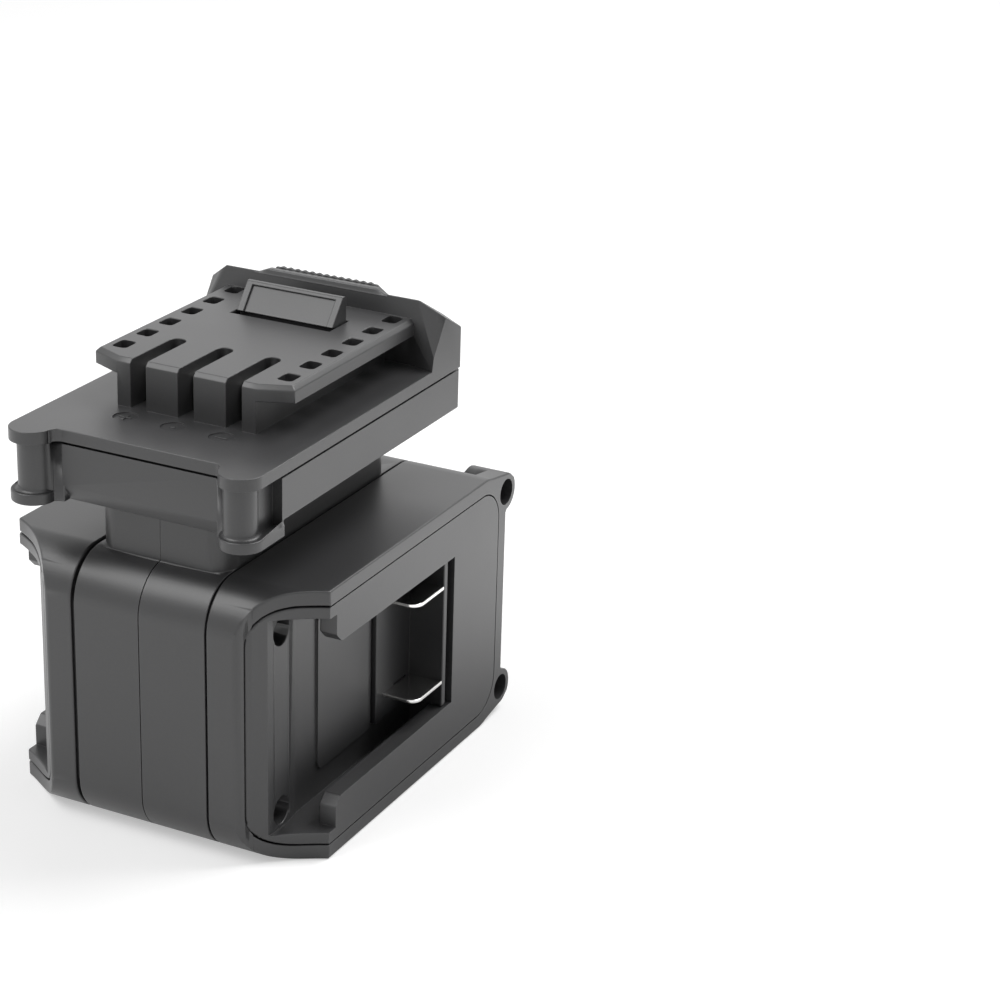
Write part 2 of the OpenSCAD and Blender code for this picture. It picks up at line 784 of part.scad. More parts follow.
// Upper half of the slide head with rail plate and rear block
module slide_cover() {
    module shoulders() {
        reach = 2 * block_l;
        outer = head_w / 2 + eps;
        drop = shoulder.y * (shoulder.x + eps) / shoulder.x;
        for (sx = [0, 1])
            mirror([sx, 0, 0]) translate([0, crest_y, crest_z]) rotate([-slope, 0, 0])
                translate([0, reach, 0]) rotate([90, 0, 0]) linear_extrude(2 * reach)
                    polygon([[outer - shoulder.x - eps, 0], [outer, -drop], [outer, eps],
                             [outer - shoulder.x - eps, eps]]);
    }
    module facets() {
        size = 3 * block_rise;
        for (sx = [0, 1])
            mirror([sx, 0, 0]) translate([rail_w / 2 - 0.5, crest_y - 0.5, crest_z])
                rotate([0, facet_tilt, -facet_turn]) translate([-size / 2, -size / 2, 0]) cube(size);
    }
    module rear_block() {
        cheek_y = block_front - cheek_reach;
        difference() {
            intersection() {
                along_x(-head_w / 2, head_w / 2)
                    polygon([[cheek_y, seam_z], [cheek_y, deck_z], [crest_y, crest_z],
                             [head_rear, back_z], [head_rear, seam_z]]);
                translate([0, 0, seam_z]) linear_extrude(crest_z)
                    polygon([[-head_w / 2, cheek_y], [-cheek_in, block_front], [cheek_in, block_front],
                             [head_w / 2, cheek_y], [head_w / 2, head_rear], [-head_w / 2, head_rear]]);
                translate([0, 0, seam_z]) linear_extrude(crest_z) head_plan();
            }
            shoulders();
            facets();
        }
    }
    module contact_slots() {
        r = contact_slot_w / 2;
        for (x = slot_xs) {
            translate([x - r, plate_front - eps, deck_z])
                cube([contact_slot_w, contact_slot_l - r + eps, plate_rise + eps]);
            translate([x, plate_front + contact_slot_l - r, deck_z])
                cylinder(h = plate_rise + eps, r = r);
            translate([x - r, clip_front - seam_gap, seam_z - eps])
                cube([contact_slot_w, clip_l + 2 * seam_gap, deck_t + 2 * eps]);
        }
    }
    module marks() {
        for (x = slot_xs)
            translate([x, plate_front - mark_front, deck_z - mark_depth])
                cylinder(h = mark_depth + eps, d = mark_d);
    }
    module vents() {
        for (sx = [-1, 1], i = [0 : vent_count - 1])
            translate([sx * (rail_w / 2 - vent_inset) - vent_size.x / 2,
                       plate_front + vent_front + i * vent_pitch - vent_size.y / 2, ceiling_z - eps])
                linear_extrude(plate_t + 2 * eps) round_rect(vent_size.x, vent_size.y, vent_r);
    }
    module latch_space() {
        translate([-cavity_half, cavity_front, seam_z - eps])
            cube([2 * cavity_half, button_rear + latch_gap - cavity_front, ceiling_z - seam_z + eps]);
        translate([-hook_w / 2 - latch_gap, hook_y - hook_slot_front, ceiling_z - eps])
            cube([hook_w + 2 * latch_gap, hook_l + hook_slot_front + latch_gap, plate_t + 2 * eps]);
        translate([-button_w / 2 - latch_gap, button_front - latch_gap, ceiling_z - eps])
            cube([button_w + 2 * latch_gap, button_rear - button_front + 2 * latch_gap,
                  crest_z - ceiling_z + 2]);
    }
    color(plastic) from_front() difference() {
        union() {
            translate([0, 0, seam_z]) linear_extrude(deck_t) head_plan();
            translate([-column_w / 2, plate_front, deck_z - eps])
                cube([column_w, plate_l + eps, plate_rise - plate_t + 2 * eps]);
            difference() {
                translate([0, 0, ceiling_z]) linear_extrude(plate_t) polygon(plate_plan);
                for (i = [0 : len(plate_plan) - 2])
                    plan_bevel(plate_plan[i], plate_plan[i + 1]);
            }
            rear_block();
            for (sx = [-1, 1])
                translate([sx * post_x, lug_y, seam_z - spigot_l])
                    cylinder(h = spigot_l + eps, d = spigot_d);
        }
        contact_slots();
        marks();
        vents();
        latch_space();
        for (sx = [-1, 1]) {
            translate([sx * post_x, lug_y, seam_z - spigot_l - eps])
                cylinder(h = spigot_l + eps + deck_t / 2, d = screw_bore);
            translate([sx * cover_screw_x, cover_screw_y, seam_z - eps])
                cylinder(h = cover_bore_l + eps, d = screw_bore);
        }
    }
}

// Insulating block on the tray floor that carries the three clips
module contact_holder() {
    w = contact_span + 2 * contact_slot_w;
    color(inner_plastic) from_front() difference() {
        translate([-w / 2, holder_front, spring_foot]) cube([w, holder_l, holder_top - spring_foot]);
        for (x = slot_xs)
            translate([x - clip_t - seam_gap / 2, clip_front - seam_gap / 2,
                       holder_top - clip_foot - seam_gap])
                cube([2 * clip_t + seam_gap, clip_l + seam_gap, clip_foot + seam_gap + eps]);
    }
}

// Spring clip for one contact blade: a foot and two leaves that pinch near the top
module contact_clip(x) {
    h = clip_top - holder_top;
    pinch = 0.5;
    half = [[0, -clip_foot], [clip_t, -clip_foot], [clip_t, 0.1], [clip_half, 0.1], [clip_half, h * 0.35],
            [pinch + clip_t, h * 0.8], [clip_half, h], [clip_half - clip_t, h], [pinch, h * 0.8],
            [clip_half - clip_t, h * 0.35], [clip_half - clip_t, 0.1 + clip_t], [0, 0.1 + clip_t]];
    other = [for (i = [len(half) - 2 : -1 : 1]) [-half[i].x, half[i].y]];
    color(nickel) from_front()
        translate([x, clip_front + clip_l, holder_top]) rotate([90, 0, 0])
            linear_extrude(clip_l) polygon(concat(half, other));
}

// Height of the button's face at a distance behind the front face
function button_z(y) = crest_z - (y - crest_y) * tan(slope) + button_h;

// Latch moulding: hook, beam under the rail plate and ribbed release button
module latch() {
    frame_w = 1.6;
    panel_depth = 0.5;
    hook_top = plate_z + hook_h;
    hook_run = hook_l - hook_top_l;
    rise = atan2(hook_h, hook_run);
    ramp_l = norm([hook_h, hook_run]);
    ribs = floor((button_w - 2 * rib_r) / rib_pitch / 2);
    sink = (rib_r - rib_h) / cos(slope);
    frame_top = 0.8;
    button_l = button_rear - button_front;
    color(plastic) from_front() difference() {
        union() {
            along_x(-hook_w / 2, hook_w / 2)
                polygon([[hook_y + hook_undercut, beam_top - eps],
                         [hook_y + hook_undercut, plate_z - panel_depth],
                         [hook_y, plate_z], [hook_y + hook_run, hook_top], [hook_y + hook_l, hook_top],
                         [hook_y + hook_l, beam_top - eps]]);
            translate([-beam_half, beam_front, beam_top - beam_t])
                cube([2 * beam_half, button_rear - beam_front, beam_t]);
            along_x(-button_w / 2, button_w / 2)
                polygon([[button_front, beam_top - eps], [button_front, button_z(button_front)],
                         [button_rear, button_z(button_rear)], [button_rear, beam_top - eps]]);
            intersection() {
                for (i = [-ribs : ribs])
                    translate([i * rib_pitch, button_front, button_z(button_front) - sink])
                        rotate([-90 - slope, 0, 0]) translate([0, 0, -eps])
                            cylinder(h = 2 * button_l, r = rib_r, $fn = 24);
                translate([-button_w / 2, button_front, beam_top])
                    cube([button_w, button_l, 2 * block_rise]);
            }
            for (sx = [-1, 1])
                translate([sx * spring_span / 2, spring_y, beam_top - beam_t - peg_h])
                    cylinder(h = peg_h + eps, d = peg_d);
        }
        translate([-hook_w / 2 + frame_w, hook_y, plate_z]) rotate([rise, 0, 0])
            translate([0, -eps, -panel_depth])
                cube([hook_w - 2 * frame_w, ramp_l - frame_top + eps, 2 * panel_depth]);
    }
}

// Round tube swept along a path of points, with ref never along the path
module tube(path, r, sides, ref) {
    n = len(path);
    dirs = [for (i = [0 : n - 1]) path[min(i + 1, n - 1)] - path[max(i - 1, 0)]];
    us = [for (d = dirs) let (c = cross(d, ref)) c / norm(c)];
    vs = [for (i = [0 : n - 1]) let (c = cross(dirs[i], us[i])) c / norm(c)];
    points = [for (i = [0 : n - 1], j = [0 : sides - 1])
        path[i] + r * (cos(360 * j / sides) * us[i] + sin(360 * j / sides) * vs[i])];
    skin = [for (i = [0 : n - 2], j = [0 : sides - 1])
        let (a = i * sides + j, b = i * sides + (j + 1) % sides)
        each [[a, b, b + sides], [a, b + sides, a + sides]]];
    caps = [for (j = [1 : sides - 2])
        each [[0, j + 1, j], [(n - 1) * sides, (n - 1) * sides + j, (n - 1) * sides + j + 1]]];
    polyhedron(points, concat(skin, caps));
}

// Coil spring between the tray floor and the latch beam
module latch_spring(sx) {
    steps = 12;
    rise = spring_l - spring_wire - 0.2;
    wind = (spring_d - spring_wire) / 2;
    path = [for (i = [0 : spring_turns * steps])
        [wind * cos(360 * i / steps), wind * sin(360 * i / steps),
         0.1 + spring_wire / 2 + rise * i / (spring_turns * steps)]];
    color(steel) from_front() translate([sx * spring_span / 2, spring_y, spring_foot])
        tube(path, spring_wire / 2, 6, [0, 0, 1]);
}

// Screws that hold the cover on the tray, put in from below
module cover_screws() {
    color(steel) from_front() for (sx = [-1, 1]) {
        translate([sx * post_x, lug_y, foot_z + head_h]) screw(foot_drop + tray_h - head_h);
        translate([sx * cover_screw_x, cover_screw_y, tray_z + head_h + cover_head_drop]) screw(tray_h);
    }
}

// Screws that hold the tray on the neck, put in from above
module neck_screws() {
    color(steel) from_front() for (sx = [-1, 1], y = neck_screw_y)
        translate([sx * neck_screw_x, y, spring_foot]) mirror([0, 0, 1]) screw(neck_screw_l);
}

// Smooth path through a list of points
function spline(p, steps) = [for (i = [0 : len(p) - 2], k = [0 : steps - 1])
    let (t = k / steps, a = p[max(i - 1, 0)], b = p[i], c = p[i + 1], d = p[min(i + 2, len(p) - 1)])
    0.5 * (2 * b + (c - a) * t + (2 * a - 5 * b + 4 * c - d) * t * t + (3 * b - a - 3 * c + d) * t * t * t)];

// Lead from the contact holder through the neck to a blade, on the +X side
module lead(sz) {
    x0 = sz > 0 ? lead_out : lead_in;
    end = [x_floor - tail_l - 0.1, tail_y + tail_w / 2, z_mid + sz * contact_span / 2];
    b = lead_bend;
    route = [[x0, lead_y + 0.1, lead_z], [x0, lead_y + b, lead_z - b / 8],
             [x0, lead_y + 2 * b, lead_z - 1.75 * b], [x0, lead_y + 2.25 * b, housing_h],
             [x0 + b / 2, lead_y + 3 * b, end.z + 2.25 * b],
             [end.x - 1.5 * b, end.y - b / 4, end.z + b / 4], end - [b / 2, 0, 0], end];
    tube(concat(spline(route, 4), [end]), lead_d / 2, 8, [1, -1, 0]);
}

module band_left() { color(plastic) from_front() left_side() band_half(); }
module band_right() { color(plastic) from_front() band_half(); }
module shell_left() { color(plastic) from_front() left_side() shell(joint_left_w); }
module shell_right() { color(plastic) from_front() shell(joint_right_w); }
module socket_left() { color(plastic) from_front() left_side() socket(); }
module socket_right() { color(plastic) from_front() socket(); }
module terminal_block_left() { color(inner_plastic) from_front() left_side() terminal_block(); }
module terminal_block_right() { color(inner_plastic) from_front() terminal_block(); }
module blade_upper_left() { color(nickel) from_front() left_side() blade(1); }
module blade_lower_left() { color(nickel) from_front() left_side() blade(-1); }
module blade_upper_right() { color(nickel) from_front() blade(1); }
module blade_lower_right() { color(nickel) from_front() blade(-1); }
module housing_screws_left() { color(steel) from_front() left_side() housing_screws(); }
module housing_screws_right() { color(steel) from_front() housing_screws(); }
module contact_clip_positive() { contact_clip(slot_xs[0]); }
module contact_clip_signal() { contact_clip(slot_xs[1]); }
module contact_clip_negative() { contact_clip(slot_xs[2]); }
module latch_spring_left() { latch_spring(-1); }
module latch_spring_right() { latch_spring(1); }
module lead_upper_left() { color(red_lead) from_front() left_side() lead(1); }
module lead_lower_left() { color(black_lead) from_front() left_side() lead(-1); }
module lead_upper_right() { color(red_lead) from_front() lead(1); }
module lead_lower_right() { color(black_lead) from_front() lead(-1); }

band_left();
band_right();
shell_left();
shell_right();
socket_left();
socket_right();
terminal_block_left();
terminal_block_right();
blade_upper_left();
blade_lower_left();
blade_upper_right();
blade_lower_right();
housing_screws_left();
housing_screws_right();
tray();
slide_cover();
contact_holder();
contact_clip_positive();
contact_clip_signal();
contact_clip_negative();
latch();
latch_spring_left();
latch_spring_right();
cover_screws();
neck_screws();
lead_upper_left();
lead_lower_left();
lead_upper_right();
lead_lower_right();
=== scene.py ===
"""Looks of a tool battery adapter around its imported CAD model.

The object's sizes are written in millimetres, all other lengths and the meshes in metres, and +Z is up.
The front face looks along -Y, the sockets face +X and -X, and the slide head with its sprung latch stands
on the neck above the housing.
"""
from __future__ import annotations

import logging
import math
from dataclasses import dataclass, field
from enum import Enum
from typing import Iterable, Optional, Sequence, Union

import bmesh
import bpy
import numpy as np
from mathutils import Matrix, Vector
from mathutils.kdtree import KDTree

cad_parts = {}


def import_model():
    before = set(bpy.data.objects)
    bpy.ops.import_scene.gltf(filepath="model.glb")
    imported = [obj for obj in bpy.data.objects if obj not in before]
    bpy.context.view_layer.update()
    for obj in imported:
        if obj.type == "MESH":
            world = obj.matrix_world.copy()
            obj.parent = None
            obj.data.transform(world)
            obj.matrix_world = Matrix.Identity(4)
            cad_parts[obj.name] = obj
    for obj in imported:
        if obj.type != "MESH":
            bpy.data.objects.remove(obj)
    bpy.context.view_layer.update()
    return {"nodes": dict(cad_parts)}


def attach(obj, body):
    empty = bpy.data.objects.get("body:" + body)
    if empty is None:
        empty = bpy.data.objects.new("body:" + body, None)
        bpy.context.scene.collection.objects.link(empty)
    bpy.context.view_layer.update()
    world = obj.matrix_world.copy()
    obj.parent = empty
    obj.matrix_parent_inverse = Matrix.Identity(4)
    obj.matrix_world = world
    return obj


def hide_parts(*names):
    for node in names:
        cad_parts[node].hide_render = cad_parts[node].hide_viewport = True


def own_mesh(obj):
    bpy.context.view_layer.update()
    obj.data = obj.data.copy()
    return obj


LOG = logging.getLogger("battery_adapter")
MM = 0.001
WHOLE = (0.0, 1.0)
TINY = 1e-9

Colour = tuple[float, float, float]
Value = Union[float, Sequence[float], bpy.types.NodeSocket]


class Body(Enum):
    """Moving bodies of the frame."""

    CASE = "case"
    LATCH = "latch"


class Slot(Enum):
    """Material slots of the record."""

    CASE_PLASTIC = "case_plastic"
    INNER_PLASTIC = "inner_plastic"
    NICKEL = "nickel"
    SCREW_STEEL = "screw_steel"
    RED_INSULATION = "red_insulation"
    BLACK_INSULATION = "black_insulation"


class Graph:
    """Short-hand for wiring one node tree."""

    def __init__(self, tree: bpy.types.NodeTree) -> None:
        """Keeps the tree that the nodes go into."""
        self.tree = tree

    def add(self, kind: str, **settings: object) -> bpy.types.Node:
        """Adds a node.

        Args:
            kind: Node type.
            **settings: Node properties to set.

        Returns:
            The new node.
        """
        node = self.tree.nodes.new(kind)
        for key, value in settings.items():
            setattr(node, key, value)
        return node

    def feed(self, socket: bpy.types.NodeSocket, value: Value) -> None:
        """Links a socket into an input, or sets the input's own value.

        Args:
            socket: Input socket.
            value: Output socket, number or vector.
        """
        if isinstance(value, bpy.types.NodeSocket):
            self.tree.links.new(value, socket)
        else:
            socket.default_value = value

    def math(self, operation: str, *values: Value, clamp: bool = False) -> bpy.types.NodeSocket:
        """Adds a math node.

        Args:
            operation: Blender's name of the operation.
            *values: Operands.
            clamp: Whether the result is kept between 0 and 1.

        Returns:
            The result.
        """
        node = self.add("ShaderNodeMath", operation=operation, use_clamp=clamp)
        for socket, value in zip(node.inputs, values):
            self.feed(socket, value)
        return node.outputs[0]

    def remap(self, value: Value, source: tuple[float, float],
              target: tuple[Value, Value]) -> bpy.types.NodeSocket:
        """Maps a range onto another with smooth ends.

        Args:
            value: Number to map.
            source: Start and end of the range it comes from.
            target: What start and end become.

        Returns:
            The mapped number.
        """
        node = self.add("ShaderNodeMapRange", interpolation_type="SMOOTHSTEP")
        for socket, number in zip(node.inputs, (value, *source, *target)):
            self.feed(socket, number)
        return node.outputs[0]

    def noise(self, vector: Value, scale: Value, detail: float = 2.0,
              roughness: float = 0.5) -> bpy.types.NodeSocket:
        """Adds a noise texture.

        Args:
            vector: Coordinates.
            scale: Cells per metre.
            detail: Octaves.
            roughness: Weight of the finer octaves.

        Returns:
            The noise value, about 0 to 1.
        """
        node = self.add("ShaderNodeTexNoise")
        settings = {"Vector": vector, "Scale": scale, "Detail": detail, "Roughness": roughness}
        for name, number in settings.items():
            self.feed(node.inputs[name], number)
        return node.outputs["Fac"]

    def stretched(self, turn: tuple[float, float, float],
                  scale: tuple[float, float, float]) -> bpy.types.NodeSocket:
        """Object coordinates that are turned and then stretched.

        Args:
            turn: Rotation in degrees.
            scale: Factor per axis, small along the streaks.

        Returns:
            The coordinates.
        """
        place = self.add("ShaderNodeMapping")
        place.inputs["Rotation"].default_value = [math.radians(angle) for angle in turn]
        place.inputs["Scale"].default_value = scale
        self.feed(place.inputs["Vector"], self.coordinates())
        return place.outputs["Vector"]

    def coordinates(self) -> bpy.types.NodeSocket:
        """Object coordinates, which are the frame's metres for every piece."""
        return self.add("ShaderNodeTexCoord").outputs["Object"]

    def mix(self, factor: Value, first: Value, second: Value, blend: str = "MIX") -> bpy.types.NodeSocket:
        """Mixes two colours.

        Args:
            factor: Share of the second colour.
            first: First colour.
            second: Second colour.
            blend: Blend type.

        Returns:
            The mixed colour.
        """
        node = self.add("ShaderNodeMix", data_type="RGBA", blend_type=blend)
        for index, value in ((0, factor), (6, first), (7, second)):
            self.feed(node.inputs[index], value)
        return node.outputs[2]

    def grey(self, value: Value) -> bpy.types.NodeSocket:
        """Makes a grey.

        Args:
            value: Its brightness.

        Returns:
            The colour.
        """
        node = self.add("ShaderNodeCombineColor")
        for socket in node.inputs:
            self.feed(socket, value)
        return node.outputs["Color"]

    def use(self, group: bpy.types.NodeTree, **inputs: Value) -> bpy.types.Node:
        """Places a node group.

        Args:
            group: Shared node group.
            **inputs: Values for its named inputs.

        Returns:
            The group node.
        """
        node = self.add("ShaderNodeGroup", node_tree=group)
        for name, value in inputs.items():
            self.feed(node.inputs[name], value)
        return node


class MaterialGraph(Graph):
    """Node tree of a new material, with the inputs of its main shader."""

    def __init__(self, name: str) -> None:
        """Makes the material.

        Args:
            name: Material name.
        """
        self.material = bpy.data.materials.new(name)
        self.material.use_nodes = True
        super().__init__(self.material.node_tree)
        self.shader = self.tree.nodes["Principled BSDF"].inputs


class GroupGraph(Graph):
    """Node group with named inputs and outputs: Normal is a vector, and the others are numbers."""

    def __init__(self, name: str, inputs: dict[str, Optional[float]], outputs: Sequence[str]) -> None:
        """Makes the group and its sockets.

        Args:
            name: Group name.
            inputs: Default by input name, none for a normal.
            outputs: Output names.
        """
        super().__init__(bpy.data.node_groups.new(name, "ShaderNodeTree"))
        for label, default in inputs.items():
            socket = self._socket(label, "INPUT")
            if default is None:
                socket.hide_value = True
            else:
                socket.default_value = default
        for label in outputs:
            self._socket(label, "OUTPUT")
        self.given = self.add("NodeGroupInput").outputs
        self.result = self.add("NodeGroupOutput").inputs

    def _socket(self, label: str, side: str) -> bpy.types.NodeTreeInterfaceSocket:
        """Adds a socket on one side of the group."""
        kind = "NodeSocketVector" if label == "Normal" else "NodeSocketFloat"
        return self.tree.interface.new_socket(label, in_out=side, socket_type=kind)

    def bump(self, height: Value) -> None:
        """Turns a height into the group's Height and Normal outputs, using its Depth and Normal inputs.

        Args:
            height: Height, about 0 to 1.
        """
        node = self.add("ShaderNodeBump")
        self.feed(node.inputs["Height"], height)
        self.feed(node.inputs["Distance"], self.given["Depth"])
        self.feed(node.inputs["Normal"], self.given["Normal"])
        self.feed(self.result["Height"], height)
        self.feed(self.result["Normal"], node.outputs["Normal"])


class Effects:
    """Surface effects that the finishes share, each built once as a node group."""

    def __init__(self) -> None:
        """Builds all groups."""
        self.edge_wear = self._edge_wear()
        self.mould_grain = self._mould_grain()
        self.mottle = self._mottle()
        self.scuffs = self._scuffs()
        self.drawn_lines = self._drawn_lines()

    @staticmethod
    def _edge_wear() -> bpy.types.NodeTree:
        """Mask of outer edges, and a normal that is rounded over the last sharp ones.

        Returns:
            The group.
        """
        flake_scale, flakes, kept, open_to_edge = 420.0, (0.25, 0.65), (0.35, 1.0), (0.92, 0.5)
        graph = GroupGraph("edge_wear", {"Radius": 0.0003, "Reach": 0.0008}, ("Mask", "Normal"))
        inside = graph.add("ShaderNodeAmbientOcclusion", inside=True, only_local=True, samples=4)
        graph.feed(inside.inputs["Distance"], graph.given["Reach"])
        flaked = graph.noise(graph.coordinates(), flake_scale, detail=3.0, roughness=0.6)
        broken = graph.remap(flaked, flakes, kept)
        edge = graph.remap(inside.outputs["AO"], open_to_edge, WHOLE)
        graph.feed(graph.result["Mask"], graph.math("MULTIPLY", edge, broken))
        rounding = graph.add("ShaderNodeBevel", samples=3)
        graph.feed(rounding.inputs["Radius"], graph.given["Radius"])
        graph.feed(graph.result["Normal"], rounding.outputs["Normal"])
        return graph.tree

    @staticmethod
    def _mould_grain() -> bpy.types.NodeTree:
        """Grain of a spark-eroded mould: small craters under finer noise.

        Returns:
            The group.
        """
        coarseness, crater_share, noise_share = 0.55, 0.6, 0.6
        graph = GroupGraph("mould_grain", {"Scale": 4000.0, "Depth": 0.00001, "Normal": None},
                           ("Height", "Normal"))
        where = graph.coordinates()
        craters = graph.add("ShaderNodeTexVoronoi", feature="SMOOTH_F1")
        graph.feed(craters.inputs["Vector"], where)
        graph.feed(craters.inputs["Scale"], graph.math("MULTIPLY", graph.given["Scale"], coarseness))
        fine = graph.noise(where, graph.given["Scale"], roughness=0.6)
        graph.bump(graph.math("ADD", graph.math("MULTIPLY", craters.outputs["Distance"], crater_share),
                              graph.math("MULTIPLY", fine, noise_share)))
        return graph.tree

    @staticmethod
    def _mottle() -> bpy.types.NodeTree:
        """Slow change over the surface, a factor about 1.

        Returns:
            The group.
        """
        swing_per_spread = 4.0
        graph = GroupGraph("mottle", {"Scale": 60.0, "Spread": 0.1}, ("Factor",))
        wave = graph.noise(graph.coordinates(), graph.given["Scale"], detail=4.0, roughness=0.55)
        reach = graph.math("MULTIPLY", graph.given["Spread"], swing_per_spread)
        swing = graph.math("MULTIPLY", graph.math("SUBTRACT", wave, 0.5), reach)
        graph.feed(graph.result["Factor"], graph.math("ADD", swing, 1.0))
        return graph.tree

    @staticmethod
    def _scuffs() -> bpy.types.NodeTree:
        """Mask of sparse fine rub marks in two directions, gathered in patches.

        Returns:
            The group.
        """
        turns, streak = ((10, 35, 20), (-30, 15, -55)), (1.0, 0.05, 1.0)
        first_edge, second_edge = (0.66, 0.74), (0.68, 0.76)
        patch_scale, patch_edge = 45.0, (0.48, 0.68)
        graph = GroupGraph("scuffs", {"Scale": 900.0, "Amount": 0.3}, ("Mask",))
        first, second = (graph.noise(graph.stretched(turn, streak), graph.given["Scale"], roughness=0.6)
                         for turn in turns)
        lines = graph.math("MAXIMUM", graph.remap(first, first_edge, WHOLE),
                           graph.remap(second, second_edge, WHOLE))
        patches = graph.remap(graph.noise(graph.coordinates(), patch_scale), patch_edge, WHOLE)
        graph.feed(graph.result["Mask"], graph.math("MULTIPLY", graph.math("MULTIPLY", lines, patches),
                                                    graph.given["Amount"], clamp=True))
        return graph.tree

    @staticmethod
    def _drawn_lines() -> bpy.types.NodeTree:
        """Fine parallel lines of rolled or drawn metal.

        Returns:
            The group.
        """
        straight, streak = (0, 0, 0), (1.0, 0.02, 1.0)
        graph = GroupGraph("drawn_lines", {"Scale": 6000.0, "Depth": 0.000004, "Normal": None},
                           ("Height", "Normal"))
        graph.bump(graph.noise(graph.stretched(straight, streak), graph.given["Scale"], roughness=0.6))
        return graph.tree


@dataclass(frozen=True)
class MouldedFinish:
    """Moulded plastic or soft insulation."""

    slot: Slot
    base: Colour
    worn: Colour
    roughness: float
    ior: float = 1.5
    grain_scale: float = 4200.0
    grain_depth: float = 0.000008
    edge_radius: float = 0.00014
    edge_reach: float = 0.0006
    wear: float = 0.4
    spread: float = 0.06
    scuff: float = 0.3
    tone_scale: float = 38.0
    speckle_scale: float = 1900.0
    scuff_scale: float = 800.0
    scuff_show: float = 0.5
    polish: float = 0.12
    dulling: float = 0.15

    def material(self, effects: Effects) -> bpy.types.Material:
        """Builds the material.

        Args:
            effects: Shared node groups.

        Returns:
            The material, named after its slot.
        """
        graph = MaterialGraph(self.slot.value)
        edge = graph.use(effects.edge_wear, Radius=self.edge_radius, Reach=self.edge_reach)
        grain = graph.use(effects.mould_grain, Scale=self.grain_scale, Depth=self.grain_depth,
                          Normal=edge.outputs["Normal"])
        tone, speckle = (graph.use(effects.mottle, Scale=scale, Spread=self.spread).outputs["Factor"]
                         for scale in (self.tone_scale, self.speckle_scale))
        rub = graph.use(effects.scuffs, Scale=self.scuff_scale, Amount=self.scuff).outputs["Mask"]
        bare = graph.math("MULTIPLY", edge.outputs["Mask"], self.wear)
        shown = graph.math("MAXIMUM", bare, graph.math("MULTIPLY", rub, self.scuff_show), clamp=True)
        colour = graph.mix(shown, (*self.base, 1.0), (*self.worn, 1.0))
        shade = graph.grey(graph.math("MULTIPLY", tone, speckle))
        graph.feed(graph.shader["Base Color"], graph.mix(1.0, colour, shade, "MULTIPLY"))
        satin = graph.math("MULTIPLY", tone, self.roughness)
        polished = graph.math("SUBTRACT", satin, graph.math("MULTIPLY", bare, self.polish))
        rubbed = graph.math("MULTIPLY", rub, self.dulling)
        graph.feed(graph.shader["Roughness"], graph.math("ADD", polished, rubbed, clamp=True))
        graph.feed(graph.shader["Normal"], grain.outputs["Normal"])
        graph.feed(graph.shader["IOR"], self.ior)
        return graph.material


@dataclass(frozen=True)
class PlatedFinish:
    """Plated metal with fine drawn lines and a slight stain."""

    slot: Slot
    base: Colour
    stain: Colour
    roughness: float
    lines_scale: float = 5000.0
    lines_depth: float = 0.000004
    tone_scale: float = 140.0
    spread: float = 0.12
    stain_edge: tuple[float, float] = (0.95, 1.2)
    scuff_scale: float = 1400.0
    scuff: float = 0.6
    dulling: float = 0.12

    def material(self, effects: Effects) -> bpy.types.Material:
        """Builds the material.

        Args:
            effects: Shared node groups.

        Returns:
            The material, named after its slot.
        """
        graph = MaterialGraph(self.slot.value)
        lines = graph.use(effects.drawn_lines, Scale=self.lines_scale, Depth=self.lines_depth)
        tone = graph.use(effects.mottle, Scale=self.tone_scale, Spread=self.spread).outputs["Factor"]
        rub = graph.use(effects.scuffs, Scale=self.scuff_scale, Amount=self.scuff).outputs["Mask"]
        stained = graph.remap(tone, self.stain_edge, WHOLE)
        graph.feed(graph.shader["Base Color"], graph.mix(stained, (*self.base, 1.0), (*self.stain, 1.0)))
        dull = graph.math("MULTIPLY", tone, self.roughness)
        rubbed = graph.math("MULTIPLY", rub, self.dulling)
        graph.feed(graph.shader["Roughness"], graph.math("ADD", dull, rubbed, clamp=True))
        graph.feed(graph.shader["Normal"], lines.outputs["Normal"])
        graph.feed(graph.shader["Metallic"], 1.0)
        return graph.material


FINISHES: tuple[Union[MouldedFinish, PlatedFinish], ...] = (
    MouldedFinish(Slot.CASE_PLASTIC, base=(0.028, 0.028, 0.029), worn=(0.055, 0.055, 0.056), roughness=0.4,
                  ior=1.62),
    MouldedFinish(Slot.INNER_PLASTIC, base=(0.013, 0.013, 0.014), worn=(0.03, 0.03, 0.031), roughness=0.36,
                  ior=1.55, grain_depth=0.000004, scuff=0.15),
    MouldedFinish(Slot.RED_INSULATION, base=(0.35, 0.03, 0.025), worn=(0.45, 0.08, 0.06), roughness=0.5,
                  grain_scale=2600.0, wear=0.2),
    MouldedFinish(Slot.BLACK_INSULATION, base=(0.02, 0.02, 0.02), worn=(0.05, 0.05, 0.05), roughness=0.5,
                  grain_scale=2600.0, wear=0.2),
    PlatedFinish(Slot.NICKEL, base=(0.79, 0.785, 0.77), stain=(0.66, 0.65, 0.625), roughness=0.2),
    PlatedFinish(Slot.SCREW_STEEL, base=(0.55, 0.55, 0.54), stain=(0.42, 0.41, 0.38), roughness=0.32),
)


